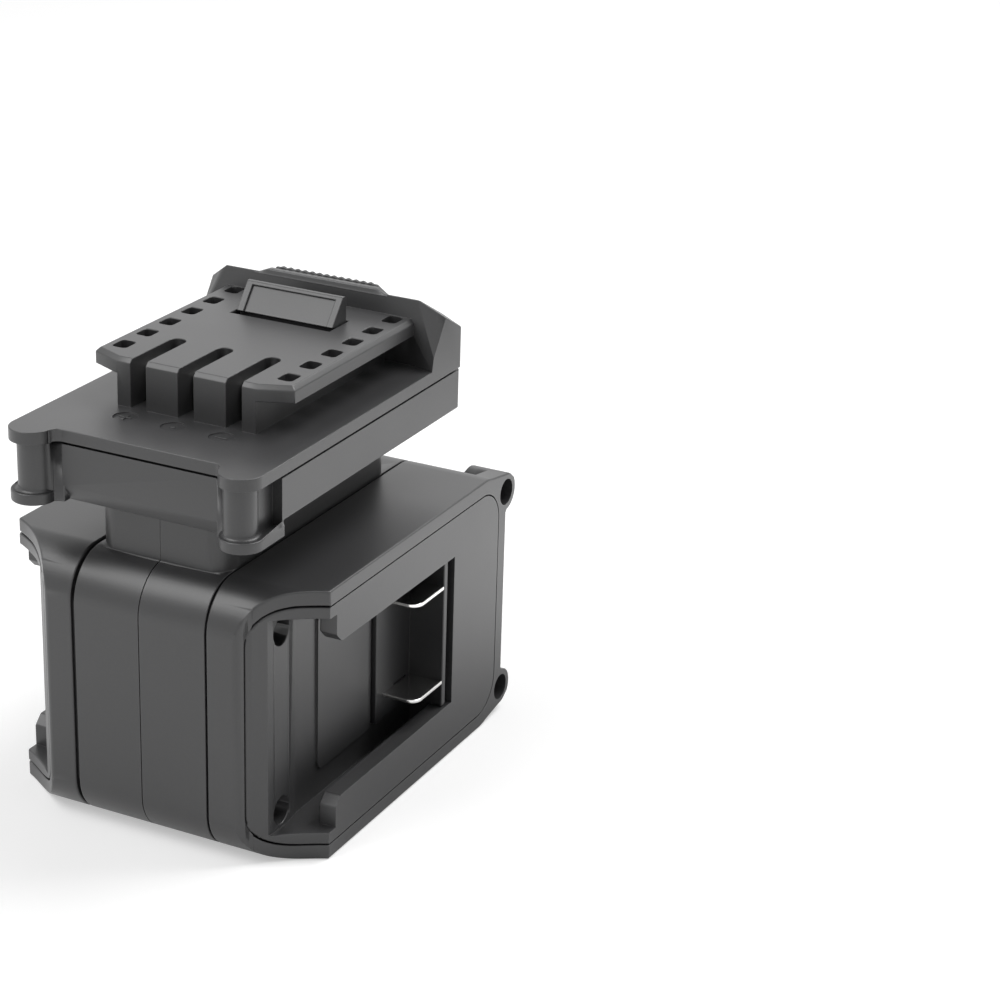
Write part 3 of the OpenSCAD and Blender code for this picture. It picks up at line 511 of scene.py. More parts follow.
@dataclass
class Shape:
    """Vertices and quads of a surface."""

    points: np.ndarray
    quads: np.ndarray

    @staticmethod
    def grid(points: np.ndarray, closed: bool = True) -> "Shape":
        """Joins a grid of points by quads.

        Args:
            points: Array of rows by columns by 3.
            closed: Whether the last column meets the first.

        Returns:
            The surface.
        """
        rows, columns = points.shape[:2]
        index = np.arange(rows * columns).reshape(rows, columns)
        beside = np.roll(index, -1, axis=1)
        last = columns if closed else columns - 1
        corners = (index[:-1, :last], beside[:-1, :last], beside[1:, :last], index[1:, :last])
        return Shape(points.reshape(-1, 3), np.stack(corners, axis=-1).reshape(-1, 4))

    @staticmethod
    def capped(points: np.ndarray) -> np.ndarray:
        """Grid with a further row at each end, all of whose points lie in the middle of the end row."""
        poles = np.broadcast_to(points[[0, -1]].mean(axis=1, keepdims=True), (2, *points.shape[1:]))
        return np.concatenate([poles[:1], points, poles[1:]])

    def placed(self, matrix: Matrix) -> "Shape":
        """Copy of the surface carried by a matrix."""
        turn = np.array(matrix.to_3x3())
        return Shape(self.points @ turn.T + np.array(matrix.translation), self.quads)

    @staticmethod
    def joined(shapes: Iterable["Shape"]) -> "Shape":
        """Makes one surface of several.

        Args:
            shapes: The surfaces.

        Returns:
            The joined surface.
        """
        parts = list(shapes)
        starts = np.cumsum([0] + [len(part.points) for part in parts[:-1]])
        return Shape(np.concatenate([part.points for part in parts]),
                     np.concatenate([part.quads + start for part, start in zip(parts, starts)]))

    def mesh(self, name: str, merge: float = 1e-7, crease: float = 40.0) -> bpy.types.Mesh:
        """Turns the surface into a smooth closed mesh.

        Args:
            name: Mesh name.
            merge: Distance under which points are one, which closes poles and seams.
            crease: Angle in degrees above which an edge stays sharp.

        Returns:
            The mesh, its faces pointing outwards.
        """
        mesh = bpy.data.meshes.new(name)
        mesh.from_pydata(self.points.tolist(), [], self.quads.tolist())
        work = bmesh.new()
        work.from_mesh(mesh)
        bmesh.ops.remove_doubles(work, verts=work.verts[:], dist=merge)
        bmesh.ops.recalc_face_normals(work, faces=work.faces[:])
        work.to_mesh(mesh)
        work.free()
        mesh.shade_smooth()
        mesh.set_sharp_from_angle(angle=math.radians(crease))
        return mesh


def added(name: str, data: bpy.types.ID) -> bpy.types.Object:
    """Adds an object to the scene.

    Args:
        name: Object name.
        data: Its mesh, light or camera.

    Returns:
        The object.
    """
    thing = bpy.data.objects.new(name, data)
    bpy.context.scene.collection.objects.link(thing)
    return thing


class Workshop:
    """Puts meshes into the scene and onto the frame's bodies."""

    def __init__(self, nodes: dict[str, bpy.types.Object], finishes: dict[Slot, bpy.types.Material]) -> None:
        """Keeps the frame's nodes and the finished materials."""
        self.nodes = nodes
        self.finishes = finishes

    def piece(self, name: str, mesh: bpy.types.Mesh, slot: Slot, body: Body,
              stands_for: Sequence[str] = ()) -> bpy.types.Object:
        """Adds a piece that rides on a body.

        Args:
            name: Piece name.
            mesh: Finished mesh, in the frame's place.
            slot: Material slot.
            body: Body that carries the piece.
            stands_for: CAD nodes that the piece replaces.

        Returns:
            The new object.
        """
        thing = added(name, mesh)
        mesh.materials.clear()
        mesh.materials.append(self.finishes[slot])
        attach(thing, body.value)
        if stands_for:
            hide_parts(*stands_for)
        LOG.info("%s: %d faces on %s, %s", name, len(mesh.polygons), body.value, slot.value)
        return thing

    def dress(self, name: str, slot: Slot) -> None:
        """Gives a CAD node its finish and leaves its shape alone.

        Args:
            name: Node name.
            slot: Material slot.
        """
        node = self.nodes[name]
        node.data.materials.clear()
        node.data.materials.append(self.finishes[slot])
        LOG.info("%s: CAD shape, %s", name, slot.value)


@dataclass(frozen=True)
class Box:
    """Part of the space in millimetres, with X counted on both sides alike."""

    low: tuple[float, float, float] = (0.0, -1000.0, -1000.0)
    high: tuple[float, float, float] = (1000.0, 1000.0, 1000.0)

    def holds(self, ends: np.ndarray) -> np.ndarray:
        """Tells which edges, given by their ends in metres, lie in the box with both ends."""
        spots = np.concatenate([np.abs(ends[..., :1]), ends[..., 1:]], axis=-1)
        return ((spots >= np.array(self.low) * MM) & (spots <= np.array(self.high) * MM)).all(axis=(1, 2))


NOWHERE = Box(low=(1000.0, 1000.0, 1000.0), high=(0.0, 0.0, 0.0))


@dataclass(frozen=True)
class Rounding:
    """Width in millimetres for the outer edges inside one box and outside another."""

    width: float
    segments: int = 3
    least_angle: float = 28.0
    room: float = 2.3
    where: Box = Box()
    sharp: Box = NOWHERE

    @property
    def radius(self) -> float:
        """Width in metres."""
        return self.width * MM


@dataclass
class RoundedCopy:
    """Merged copy of a CAD node whose outer edges are rounded."""

    node: str
    roundings: tuple[Rounding, ...]
    slot: Slot = Slot.CASE_PLASTIC
    body: Body = Body.CASE
    tries: int = 10
    least_berth: float = 2.0
    stray_reach: float = 2.5
    fold_angle: float = 140.0
    crease: float = 34.0
    merge: float = 2e-6
    flat_angle: float = 0.1
    normal_weight: int = 80

    def build(self, shop: Workshop) -> None:
        """Makes the copy and puts it in the node's place.

        Args:
            shop: Where the piece goes.
        """
        work = self._merged(shop.nodes[self.node].data)
        done = np.empty((0, 3))
        for rounding in self.roundings:
            work, fresh = self._rounded(work, rounding, done)
            done = np.concatenate([done, fresh])
        mesh = bpy.data.meshes.new(f"{self.node}_rounded")
        work.to_mesh(mesh)
        work.free()
        mesh.shade_smooth()
        mesh.set_sharp_from_angle(angle=math.radians(self.crease))
        piece = shop.piece(f"{self.node}_rounded", mesh, self.slot, self.body, [self.node])
        even = piece.modifiers.new("even_normals", "WEIGHTED_NORMAL")
        even.keep_sharp = True
        even.weight = self.normal_weight

    def _rounded(self, plain: bmesh.types.BMesh, rounding: Rounding,
                 done: np.ndarray) -> tuple[bmesh.types.BMesh, np.ndarray]:
        """Rounds edges, leaving out more of them round each spot that went wrong until none does.

        Args:
            plain: Mesh to round, which is used up.
            rounding: Radius and the box it is for.
            done: Points of earlier roundings, which are left alone.

        Returns:
            The rounded mesh and its new points, or the plain mesh when every try goes wrong.
        """
        own = self._folds(plain)
        barred = np.concatenate([own, done])
        for attempt in range(self.tries):
            work = plain.copy()
            edges = self._edges(work, rounding, barred, self.least_berth + attempt)
            ends = np.array([[tuple(vertex.co) for vertex in edge.verts] for edge in edges]).reshape(-1, 2, 3)
            made = bmesh.ops.bevel(work, geom=edges, offset=rounding.radius, offset_type="OFFSET",
                                   segments=rounding.segments, profile=0.5, affect="EDGES",
                                   clamp_overlap=False, loop_slide=True, miter_outer="SHARP",
                                   miter_inner="SHARP")
            strays = self._draw_back(made["verts"], ends.reshape(-1, 3), rounding.radius)
            work.normal_update()
            folds = self._folds(work)
            fresh = folds[self._distance(np.stack([folds, folds], axis=1), own) > rounding.radius]
            LOG.info("%s: try %d rounds %d edges, draws back %d points, leaves %d points on folds", self.node,
                     attempt + 1, len(edges), strays, len(fresh))
            if not len(fresh):
                plain.free()
                return work, np.array([tuple(point.co) for point in made["verts"]]).reshape(-1, 3)
            barred = np.concatenate([barred, fresh])
            work.free()
        LOG.warning("%s: stays unrounded", self.node)
        return plain, np.empty((0, 3))

    def _draw_back(self, made: Sequence[bmesh.types.BMVert], corners: np.ndarray, radius: float) -> int:
        """Draws points that slid far along a neighbouring edge back to one radius from their corner.

        Args:
            made: New points.
            corners: Ends of the rounded edges.
            radius: Radius in metres.

        Returns:
            How many points were farther away than the reach for strays, which is given in radii.
        """
        tree = KDTree(len(corners))
        for index, corner in enumerate(corners):
            tree.insert(corner, index)
        tree.balance()
        found = 0
        for point in made:
            corner, _, reach = tree.find(point.co)
            if reach > self.stray_reach * radius:
                point.co = corner + (point.co - corner) * (radius / reach)
                found += 1
        return found

    def _merged(self, mesh: bpy.types.Mesh) -> bmesh.types.BMesh:
        """Copies a CAD mesh and joins its triangles into flat faces.

        Args:
            mesh: Mesh of the node, which stays as it is.

        Returns:
            The copy.
        """
        work = bmesh.new()
        work.from_mesh(mesh)
        bmesh.ops.remove_doubles(work, verts=work.verts[:], dist=self.merge)
        bmesh.ops.dissolve_limit(work, angle_limit=math.radians(self.flat_angle), verts=work.verts[:],
                                 edges=work.edges[:], use_dissolve_boundaries=False)
        return work

    def _edges(self, work: bmesh.types.BMesh, rounding: Rounding, barred: np.ndarray,
               berth: float) -> list[bmesh.types.BMEdge]:
        """Picks the edges to round.

        A smooth patch is a set of faces joined over soft edges, and its width is twice its area over the
        length of its sharp border. An outer edge is rounded where both its patches are wide enough and no
        barred point is near.

        Args:
            work: Merged copy.
            rounding: Radius and the box it is for.
            barred: Points where an earlier try went wrong.
            berth: Distance to keep from them, in radii.

        Returns:
            The edges.
        """
        work.faces.index_update()
        inner = [edge for edge in work.edges if len(edge.link_faces) == 2]
        angle = np.array([edge.calc_face_angle(0.0) for edge in inner])
        length = np.array([edge.calc_length() for edge in inner])
        sides = np.array([[face.index for face in edge.link_faces] for edge in inner])
        ends = np.array([[tuple(vertex.co) for vertex in edge.verts] for edge in inner])
        outer = np.array([edge.is_convex for edge in inner])
        sharp = angle > math.radians(rounding.least_angle)
        patch = self._patches(len(work.faces), sides[~sharp])
        area = np.bincount(patch, [face.calc_area() for face in work.faces], len(work.faces))
        border = np.zeros(len(work.faces))
        np.add.at(border, patch[sides[sharp]], length[sharp, None])
        width = 2.0 * area / np.maximum(border, TINY)
        fits = sharp & outer & (width[patch[sides]].min(axis=1) > rounding.room * rounding.radius)
        fits &= rounding.where.holds(ends) & ~rounding.sharp.holds(ends)
        fits &= self._distance(ends, barred) > berth * rounding.radius
        return [edge for edge, chosen in zip(inner, fits) if chosen]

    @staticmethod
    def _patches(count: int, joined: np.ndarray) -> np.ndarray:
        """Numbers faces so that joined ones share a number.

        Args:
            count: Number of faces.
            joined: Pairs of neighbouring faces.

        Returns:
            The number of each face's patch, spread from neighbour to neighbour until nothing changes.
        """
        label = np.arange(count)
        while True:
            low = label[joined].min(axis=1)
            spread = label.copy()
            np.minimum.at(spread, joined[:, 0], low)
            np.minimum.at(spread, joined[:, 1], low)
            spread = spread[spread]
            if np.array_equal(spread, label):
                return label
            label = spread

    @staticmethod
    def _distance(ends: np.ndarray, points: np.ndarray) -> np.ndarray:
        """Least distance from each edge to any of the points.

        Args:
            ends: Both ends of each edge.
            points: Points to keep away from.

        Returns:
            One distance per edge, measured at the nearest spot along it, endless without points.
        """
        if not len(points):
            return np.full(len(ends), np.inf)
        start, run = ends[:, 0], ends[:, 1] - ends[:, 0]
        gap = points[None] - start[:, None]
        square = np.maximum((run * run).sum(axis=1), TINY ** 2)[:, None]
        along = np.einsum("epk,ek->ep", gap, run) / square
        near = gap - np.clip(along, 0.0, 1.0)[..., None] * run[:, None]
        return np.sqrt((near * near).sum(axis=2)).min(axis=1)

    def _folds(self, work: bmesh.types.BMesh) -> np.ndarray:
        """Finds edges where a face folds back over its neighbour.

        Args:
            work: Mesh with fresh normals.

        Returns:
            Both ends and the middle of each such edge.
        """
        limit = math.radians(self.fold_angle)
        ends = [[tuple(vertex.co) for vertex in edge.verts] for edge in work.edges
                if len(edge.link_faces) == 2 and edge.calc_face_angle(0.0) > limit]
        folded = np.array(ends).reshape(-1, 2, 3)
        return np.concatenate([folded, folded.mean(axis=1, keepdims=True)], axis=1).reshape(-1, 3)


@dataclass
class Housing:
    """Central band, side shells and rail sockets with their terminals."""

    rounding: dict[str, float] = field(default_factory=lambda: {"band": 0.2, "shell": 0.4, "socket": 0.3})
    block_rounding: float = 0.25
    blade_rounding: float = 0.15
    joint: Box = Box(low=(36.9, -50.0, 3.0), high=(40.0, 50.0, 57.0))

    def build(self, shop: Workshop) -> None:
        """Rounds every moulding and contact of the housing except where the side faces meet flush.

        Args:
            shop: Where the pieces go.
        """
        for side in ("left", "right"):
            for kind, width in self.rounding.items():
                RoundedCopy(f"{kind}_{side}", (Rounding(width, sharp=self.joint),)).build(shop)
            RoundedCopy(f"terminal_block_{side}", (Rounding(self.block_rounding),),
                        Slot.INNER_PLASTIC).build(shop)
            for level in ("upper", "lower"):
                RoundedCopy(f"blade_{level}_{side}", (Rounding(self.blade_rounding),),
                            Slot.NICKEL).build(shop)


@dataclass
class SlideHead:
    """Tray, cover with rail plate, and the contacts in it."""

    tray_rounding: float = 0.3
    cover_rounding: float = 0.2
    below_seam: Box = Box(high=(1000.0, 1000.0, 83.4))
    above_seam: Box = Box(low=(0.0, -1000.0, 84.4))
    clip_rounding: float = 0.08

    def build(self, shop: Workshop) -> None:
        """Rounds the mouldings except at their seam, rounds the clips and dresses the holder.

        Args:
            shop: Where the pieces go.
        """
        RoundedCopy("tray", (Rounding(self.tray_rounding, where=self.below_seam),)).build(shop)
        RoundedCopy("slide_cover", (Rounding(self.cover_rounding, where=self.above_seam),)).build(shop)
        for pole in ("positive", "signal", "negative"):
            RoundedCopy(f"contact_clip_{pole}", (Rounding(self.clip_rounding),), Slot.NICKEL).build(shop)
        shop.dress("contact_holder", Slot.INNER_PLASTIC)


@dataclass
class PoleMarks:
    """Raised signs in the round marks of the deck: plus, dot and minus."""

    floor_z: float = 86.5
    centre_y: float = -31.2
    pitch: float = 11.25
    arm_l: float = 1.35
    arm_w: float = 0.28
    dot_r: float = 0.5
    rise: float = 0.2
    relief: tuple[tuple[float, float], ...] = (
        (0.0, -0.25), (1.0, -0.25), (1.0, 0.3), (0.985, 0.62), (0.95, 0.88), (0.9, 1.0), (0.5, 1.0),
        (0.0, 1.0))
    directions: int = 96
    crease: float = 50.0

    def build(self, shop: Workshop) -> None:
        """Makes the three signs as one piece.

        Args:
            shop: Where the piece goes.
        """
        turn = np.linspace(0.0, 2.0 * np.pi, self.directions, endpoint=False)
        bar, post = self._bar(turn), self._bar(turn + np.pi / 2.0)
        outlines = (np.maximum(bar, post), np.full_like(turn, self.dot_r), bar)
        places = [Matrix.Translation(Vector((step * self.pitch, self.centre_y, 0.0)) * MM)
                  for step in (-1, 0, 1)]
        signs = [self._sign(outline, turn).placed(place) for outline, place in zip(outlines, places)]
        mesh = Shape.joined(signs).mesh("pole_marks", crease=self.crease)
        shop.piece("pole_marks", mesh, Slot.CASE_PLASTIC, Body.CASE)

    def _bar(self, turn: np.ndarray) -> np.ndarray:
        """Reach of a straight bar about its middle: the nearer of its end and its side in each direction."""
        along, across = np.maximum(np.abs(np.cos(turn)), TINY), np.maximum(np.abs(np.sin(turn)), TINY)
        return np.minimum(self.arm_l / along, self.arm_w / across)

    def _sign(self, outline: np.ndarray, turn: np.ndarray) -> Shape:
        """Low relief over an outline.

        Rings shrink the outline towards its middle while the height climbs a quarter circle near the rim, and
        a sunk floor closes it below.

        Args:
            outline: Reach of the outline in each direction.
            turn: The directions.

        Returns:
            The closed relief.
        """
        share, climb = np.array(self.relief).T[..., None]
        reach = share * outline[None]
        height = np.broadcast_to(climb * self.rise + self.floor_z, reach.shape)
        axes = (reach * np.cos(turn), reach * np.sin(turn), height)
        return Shape.grid(np.stack(axes, axis=-1) * MM)


@dataclass
class ButtonGrip:
    """Rippled pad on the release button, and the cover's low rim in front of it."""

    crest_y: float = 27.0
    crest_z: float = 101.2
    slope: float = 29.05
    rim_half: float = 16.4
    rim_ease: float = 3.4
    pad_half: float = 12.62
    pad_front: float = 29.38
    pad_rear: float = 35.62
    front_lift: float = 2.45
    rear_lift: float = 1.3
    front_bend: float = 0.7
    end_bend: float = 0.35
    ripple_pitch: float = 1.8
    ripple_reach: float = 11.7
    ripple_h: float = 0.3
    rim_bury: float = 0.12
    pad_bury: float = 0.5
    ease_steps: int = 25
    roll_steps: int = 7
    slope_steps: int = 9
    across_steps: int = 220
    rim_profile: tuple[tuple[float, float], ...] = (
        (-0.2, -0.6), (0.0, -0.1), (0.14, 0.5), (0.22, 0.72), (0.36, 0.9), (0.56, 1.02), (0.8, 1.14),
        (1.4, 1.46), (1.78, 1.64), (1.92, 1.66), (2.02, 1.6), (2.06, 1.45), (2.06, -0.6))

    def build(self, shop: Workshop) -> None:
        """Makes rim and pad.

        Args:
            shop: Where the pieces go.
        """
        shop.piece("button_rim", self._rim().mesh("button_rim"), Slot.CASE_PLASTIC, Body.CASE)
        shop.piece("button_grip", self._pad().mesh("button_grip"), Slot.CASE_PLASTIC, Body.LATCH)

    def _fall(self, along: np.ndarray) -> np.ndarray:
        """Height of the block's top, which falls off evenly behind the crest."""
        return self.crest_z - (along - self.crest_y) * math.tan(math.radians(self.slope))

    def _rim(self) -> Shape:
        """Low rim between crest and button.

        One profile of distances behind the crest and heights over the block's top is carried across. Above
        the top its heights are eased in at both ends with a smooth step of the distance from the end.

        Returns:
            The closed rim.
        """
        behind, over = np.array(self.rim_profile).T
        share = np.linspace(0.0, 1.0, self.ease_steps)
        step = share ** 2 * (3.0 - 2.0 * share)
        left = self.rim_ease * share - self.rim_half
        across = np.concatenate([left, -left[::-1]])[:, None]
        lift = np.concatenate([step, step[::-1]])[:, None]
        along = self.crest_y + behind
        eased = over * lift - self.rim_bury * (1.0 - lift)
        height = self._fall(along) + np.where(over > 0.0, eased, over)
        grid = np.stack(np.broadcast_arrays(across, along, height), axis=-1)
        return Shape.grid(Shape.capped(grid) * MM)

    def _pad(self) -> Shape:
        """Rippled pad.

        A profile runs up the rolled front edge, down the slope and back inside the button. It is carried
        across while its upper side swells with a raised cosine of the distance over the ripples' pitch and
        drops along a quarter circle at both ends.

        Returns:
            The closed pad.
        """
        roll = np.linspace(0.0, 0.5 * np.pi, self.roll_steps)
        rolled = self.pad_front + self.front_bend * (1.0 - np.cos(roll))
        sloped = np.linspace(self.pad_front + self.front_bend, self.pad_rear, self.slope_steps + 1)[1:]
        along = np.concatenate([[self.pad_front], rolled, sloped, [self.pad_rear]])
        upper = np.concatenate([[0.0], np.sin(roll), np.ones(self.slope_steps), [0.0]])
        share = (along - self.pad_front) / (self.pad_rear - self.pad_front)
        lift = self.front_lift + (self.rear_lift - self.front_lift) * share - self.front_bend * (1.0 - upper)
        lift[[0, -1]] = -self.pad_bury
        end = self.pad_half - self.end_bend * (1.0 - np.cos(roll))
        middle = np.linspace(-end[-1], end[-1], self.across_steps + 1)[1:-1]
        across = np.concatenate([-end, middle, end[::-1]])[:, None]
        drop = self.end_bend * (1.0 - np.sin(roll))
        sunk = np.concatenate([drop, np.zeros(len(middle)), drop[::-1]])[:, None]
        wave = 0.5 + 0.5 * np.cos(2.0 * np.pi * across / self.ripple_pitch)
        swell = np.where(np.abs(across) < self.ripple_reach, self.ripple_h * wave, 0.0) - sunk
        height = self._fall(along) + lift + swell * upper
        grid = np.stack(np.broadcast_arrays(across, along, height), axis=-1)
        return Shape.grid(Shape.capped(grid) * MM)


@dataclass
class Latch:
    """Hook and button moulding on two coil springs."""

    rounding: float = 0.2
    hook_rounding: float = 0.6
    hook_segments: int = 5
    hook_room: float = 1.2
    hook_edge: Box = Box(low=(0.0, 17.0, 101.5))
    foot_z: float = 77.1
    free_l: float = 13.0
    pressed_l: float = 7.6
    coil_r: float = 3.1
    wire_r: float = 0.4
    turns: float = 6.0
    centre_y: float = 16.7
    half_span: float = 8.0
    steps_per_turn: int = 28
    wire_sides: int = 12
    end_share: float = 0.09
    end_climb: float = 0.06
    ease: float = 0.15
    tips: float = 400.0

    def build(self, shop: Workshop) -> None:
        """Rounds the moulding and winds the springs.

        Args:
            shop: Where the pieces go.
        """
        hook = Rounding(self.hook_rounding, segments=self.hook_segments, room=self.hook_room,
                        where=self.hook_edge)
        RoundedCopy("latch", (hook, Rounding(self.rounding)), body=Body.LATCH).build(shop)
        for side, sign in (("left", -1), ("right", 1)):
            place = Matrix.Translation((sign * self.half_span * MM, self.centre_y * MM, self.foot_z * MM))
            name = f"latch_spring_{side}"
            spring = shop.piece(f"{name}_coil", self._coil().placed(place).mesh(name), Slot.SCREW_STEEL,
                                Body.CASE, [name])
            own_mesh(spring)

    def _coil(self) -> Shape:
        """Round wire wound into a spring with flat end turns.

        The wire's middle runs round a circle while its height follows a smooth step of the turn, so the first
        and last turns lie nearly flat. A ring of the wire's radius stands across it at each step, drawn to a
        point at both ends.

        Returns:
            The coil with its foot at the origin.
        """
        t = np.linspace(0.0, 1.0, int(self.turns * self.steps_per_turn))[:, None]
        ring = np.linspace(0.0, 2.0 * np.pi, self.wire_sides, endpoint=False)[None]
        angle = 2.0 * np.pi * self.turns * t
        end = self.wire_r / self.free_l
        climb = np.clip((t - self.end_share) / (1.0 - 2.0 * self.end_share), 0.0, 1.0)
        eased = (1.0 - self.ease) * climb + self.ease * climb ** 2 * (3.0 - 2.0 * climb)
        rise = self.end_climb * t + (1.0 - self.end_climb) * eased
        height = self.free_l * (end + (1.0 - 2.0 * end) * rise)
        wire = self.wire_r * np.sqrt(np.clip(np.minimum(t, 1.0 - t) * self.tips, 0.0, 1.0))
        radius = self.coil_r + wire * np.cos(ring)
        axes = (radius * np.cos(angle), radius * np.sin(angle), height + wire * np.sin(ring))
        return Shape.grid(np.stack(axes, axis=-1) * MM)


@dataclass(frozen=True)
class ScrewPlace:
    """Seat of a screw head, the way its shank points and its length, in millimetres."""

    seat: tuple[float, float, float]
    way: tuple[float, float, float]
    shank_l: float


@dataclass
class Fasteners:
    """Pan head screws with a cross recess and a rolled thread."""

    head_r: float = 2.75
    head_h: float = 2.0
    shank_r: float = 1.5
    pitch: float = 1.0
    thread_h: float = 0.28
    recess_depth: float = 1.1
    arm_r: float = 1.75
    arm_w: float = 0.42
    arm_slack: float = 0.12
    arm_side: float = 0.16
    arm_power: float = 0.45
    brow: float = 0.86
    brow_h: float = 0.5
    brow_power: float = 2.5
    dome_h: float = 0.22
    side_h: float = 1.2
    chamfer: float = 0.12
    fillet: float = 0.1
    run_in: float = 0.8
    crest: float = 1.5
    tip_l: float = 1.4
    tip_power: float = 0.7
    crease: float = 35.0
    columns: int = 48
    head_rows: int = 26
    rows_per_pitch: int = 7
    well_seat: tuple[float, float, float] = (19.5, -35.2, 30.0)
    well_lift: float = 20.15
    well_l: float = 14.5
    post_seat: tuple[float, float, float] = (23.95, -44.7, 73.2)
    post_l: float = 11.0
    rear_seat: tuple[float, float, float] = (23.0, 32.0, 77.8)
    rear_l: float = 9.4
    neck_x: float = 10.3
    neck_rows: tuple[float, float] = (-31.2, 25.3)
    neck_z: float = 77.0
    neck_l: float = 8.0

    def places(self) -> dict[str, list[ScrewPlace]]:
        """Lists the screws, each seat given for the right side and mirrored to the left.

        Returns:
            Screws of each CAD node.
        """
        found: dict[str, list[ScrewPlace]] = {}
        sides = {"left": -1, "right": 1}
        x, y, z = self.well_seat
        for side, sign in sides.items():
            found[f"housing_screws_{side}"] = [
                ScrewPlace((sign * x, y, z + lift), (-sign, 0, 0), self.well_l)
                for lift in (-self.well_lift, self.well_lift)]
        found["cover_screws"] = [ScrewPlace((sign * seat[0], *seat[1:]), (0, 0, 1), shank_l)
                                 for sign in sides.values()
                                 for seat, shank_l in ((self.post_seat, self.post_l),
                                                       (self.rear_seat, self.rear_l))]
        found["neck_screws"] = [ScrewPlace((sign * self.neck_x, row, self.neck_z), (0, 0, -1), self.neck_l)
                                for sign in sides.values() for row in self.neck_rows]
        return found

    def build(self, shop: Workshop) -> None:
        """Makes the screws of each node as one piece.

        Args:
            shop: Where the pieces go.
        """
        for node, places in self.places().items():
            shapes = []
            for place in places:
                turn = Vector((0, 0, 1)).rotation_difference(Vector(place.way)).to_matrix().to_4x4()
                seat = Matrix.Translation(Vector(place.seat) * MM)
                shapes.append(self._screw(place.shank_l).placed(seat @ turn))
            mesh = Shape.joined(shapes).mesh(node, crease=self.crease)
            shop.piece(f"{node}_threaded", mesh, Slot.SCREW_STEEL, Body.CASE, [node])

    def _screw(self, shank_l: float) -> Shape:
        """Screw along +Z with its head below the origin.

        One profile is turned about the axis: over the domed head, round its rim, under it, along the shank
        and into the point. On the head each point sinks by the cross recess, which is deepest in the middle
        and ends in two crossed arms. On the shank the radius follows a triangle wave of the height over the
        pitch less the turn, which winds the thread.

        Args:
            shank_l: Length under the head.

        Returns:
            The screw, closed at both poles.
        """
        turn = np.linspace(0.0, 2.0 * np.pi, self.columns, endpoint=False)[None]
        share = np.concatenate([np.linspace(0.0, self.brow, self.head_rows),
                                [0.9, 0.94, 0.97, 0.99, 1.0]])[:, None]
        reach = share * self.head_r
        bend = np.clip((share - self.brow) / (1.0 - self.brow), 0.0, 1.0) ** self.brow_power
        dome = self.dome_h * share ** 2 + self.brow_h * bend
        level = dome - self.head_h + self._recess(reach, turn)
        top = np.concatenate([self._ring(reach, turn), level[..., None]], axis=2)
        rim = np.array([[self.head_r, -self.side_h], [self.head_r, -self.chamfer],
                        [self.head_r - self.chamfer, 0.0], [self.shank_r + self.fillet, 0.0]])
        under = np.concatenate([self._ring(rim[:, :1], turn),
                                np.broadcast_to(rim[:, 1:, None], (len(rim), self.columns, 1))], axis=2)
        rise = np.linspace(0.0, shank_l, int(shank_l / self.pitch * self.rows_per_pitch))[:, None]
        wave = np.abs(np.mod(rise / self.pitch - turn / (2.0 * np.pi), 1.0) * 2.0 - 1.0)
        groove = 1.0 - np.clip(self.crest * wave, 0.0, 1.0)
        fade = np.clip(rise / self.run_in, 0.0, 1.0)
        point = np.clip((shank_l - rise) / self.tip_l, 0.0, 1.0) ** self.tip_power
        radius = (self.shank_r - self.thread_h * fade * groove) * point
        climb = np.broadcast_to(rise, radius.shape)[..., None]
        shank = np.concatenate([self._ring(radius, turn), climb], axis=2)
        return Shape.grid(np.concatenate([top, under, shank]) * MM)

    @staticmethod
    def _ring(radius: np.ndarray, turn: np.ndarray) -> np.ndarray:
        """Plan of points at a radius and a turn about the axis."""
        return np.stack(np.broadcast_arrays(radius * np.cos(turn), radius * np.sin(turn)), axis=-1)

    def _recess(self, reach: np.ndarray, turn: np.ndarray) -> np.ndarray:
        """Depth of the cross recess: the deeper of two crossed arms whose floors rise towards their ends.

        Args:
            reach: Distance from the axis.
            turn: Angle about the axis.

        Returns:
            Depth at each point.
        """
        along, across = np.abs(reach * np.cos(turn)), np.abs(reach * np.sin(turn))

        def arm(lengthwise: np.ndarray, sideways: np.ndarray) -> np.ndarray:
            """Depth of one arm, steep at its sides."""
            side = np.clip((self.arm_w + self.arm_slack - sideways) / self.arm_side, 0.0, 1.0)
            return side * np.clip(1.0 - lengthwise / self.arm_r, 0.0, 1.0) ** self.arm_power

        return self.recess_depth * np.maximum(arm(along, across), arm(across, along))


@dataclass
class Wiring:
    """Leads between the contact holder and the blades."""

    def build(self, shop: Workshop) -> None:
        """Dresses the leads.

        Args:
            shop: Where the leads are found.
        """
        for side in ("left", "right"):
            shop.dress(f"lead_upper_{side}", Slot.RED_INSULATION)
            shop.dress(f"lead_lower_{side}", Slot.BLACK_INSULATION)


@dataclass
class Camera:
    """Viewpoint of the photograph."""

    eye: tuple[float, float, float] = (0.273117, -0.445193, 0.273385)
    azimuth: float = 25.8389
    elevation: float = 22.1442
    roll: float = 1.8458
    lens: float = 95.32
    nearest: float = 0.01

    def build(self) -> None:
        """Adds the camera and makes it the scene's own."""
        turn, lift, tilt = (math.radians(angle) for angle in (self.azimuth, self.elevation, self.roll))
        back = Vector((math.sin(turn) * math.cos(lift), -math.cos(turn) * math.cos(lift), math.sin(lift)))
        right = Vector((math.cos(turn), math.sin(turn), 0.0))
        up = back.cross(right)
        axes = (right * math.cos(tilt) + up * math.sin(tilt), up * math.cos(tilt) - right * math.sin(tilt),
                back)
        camera = added("camera", bpy.data.cameras.new("camera"))
        camera.data.lens = self.lens
        camera.data.clip_start = self.nearest
        camera.matrix_world = Matrix.Translation(self.eye) @ Matrix(axes).transposed().to_4x4()
        bpy.context.scene.camera = camera


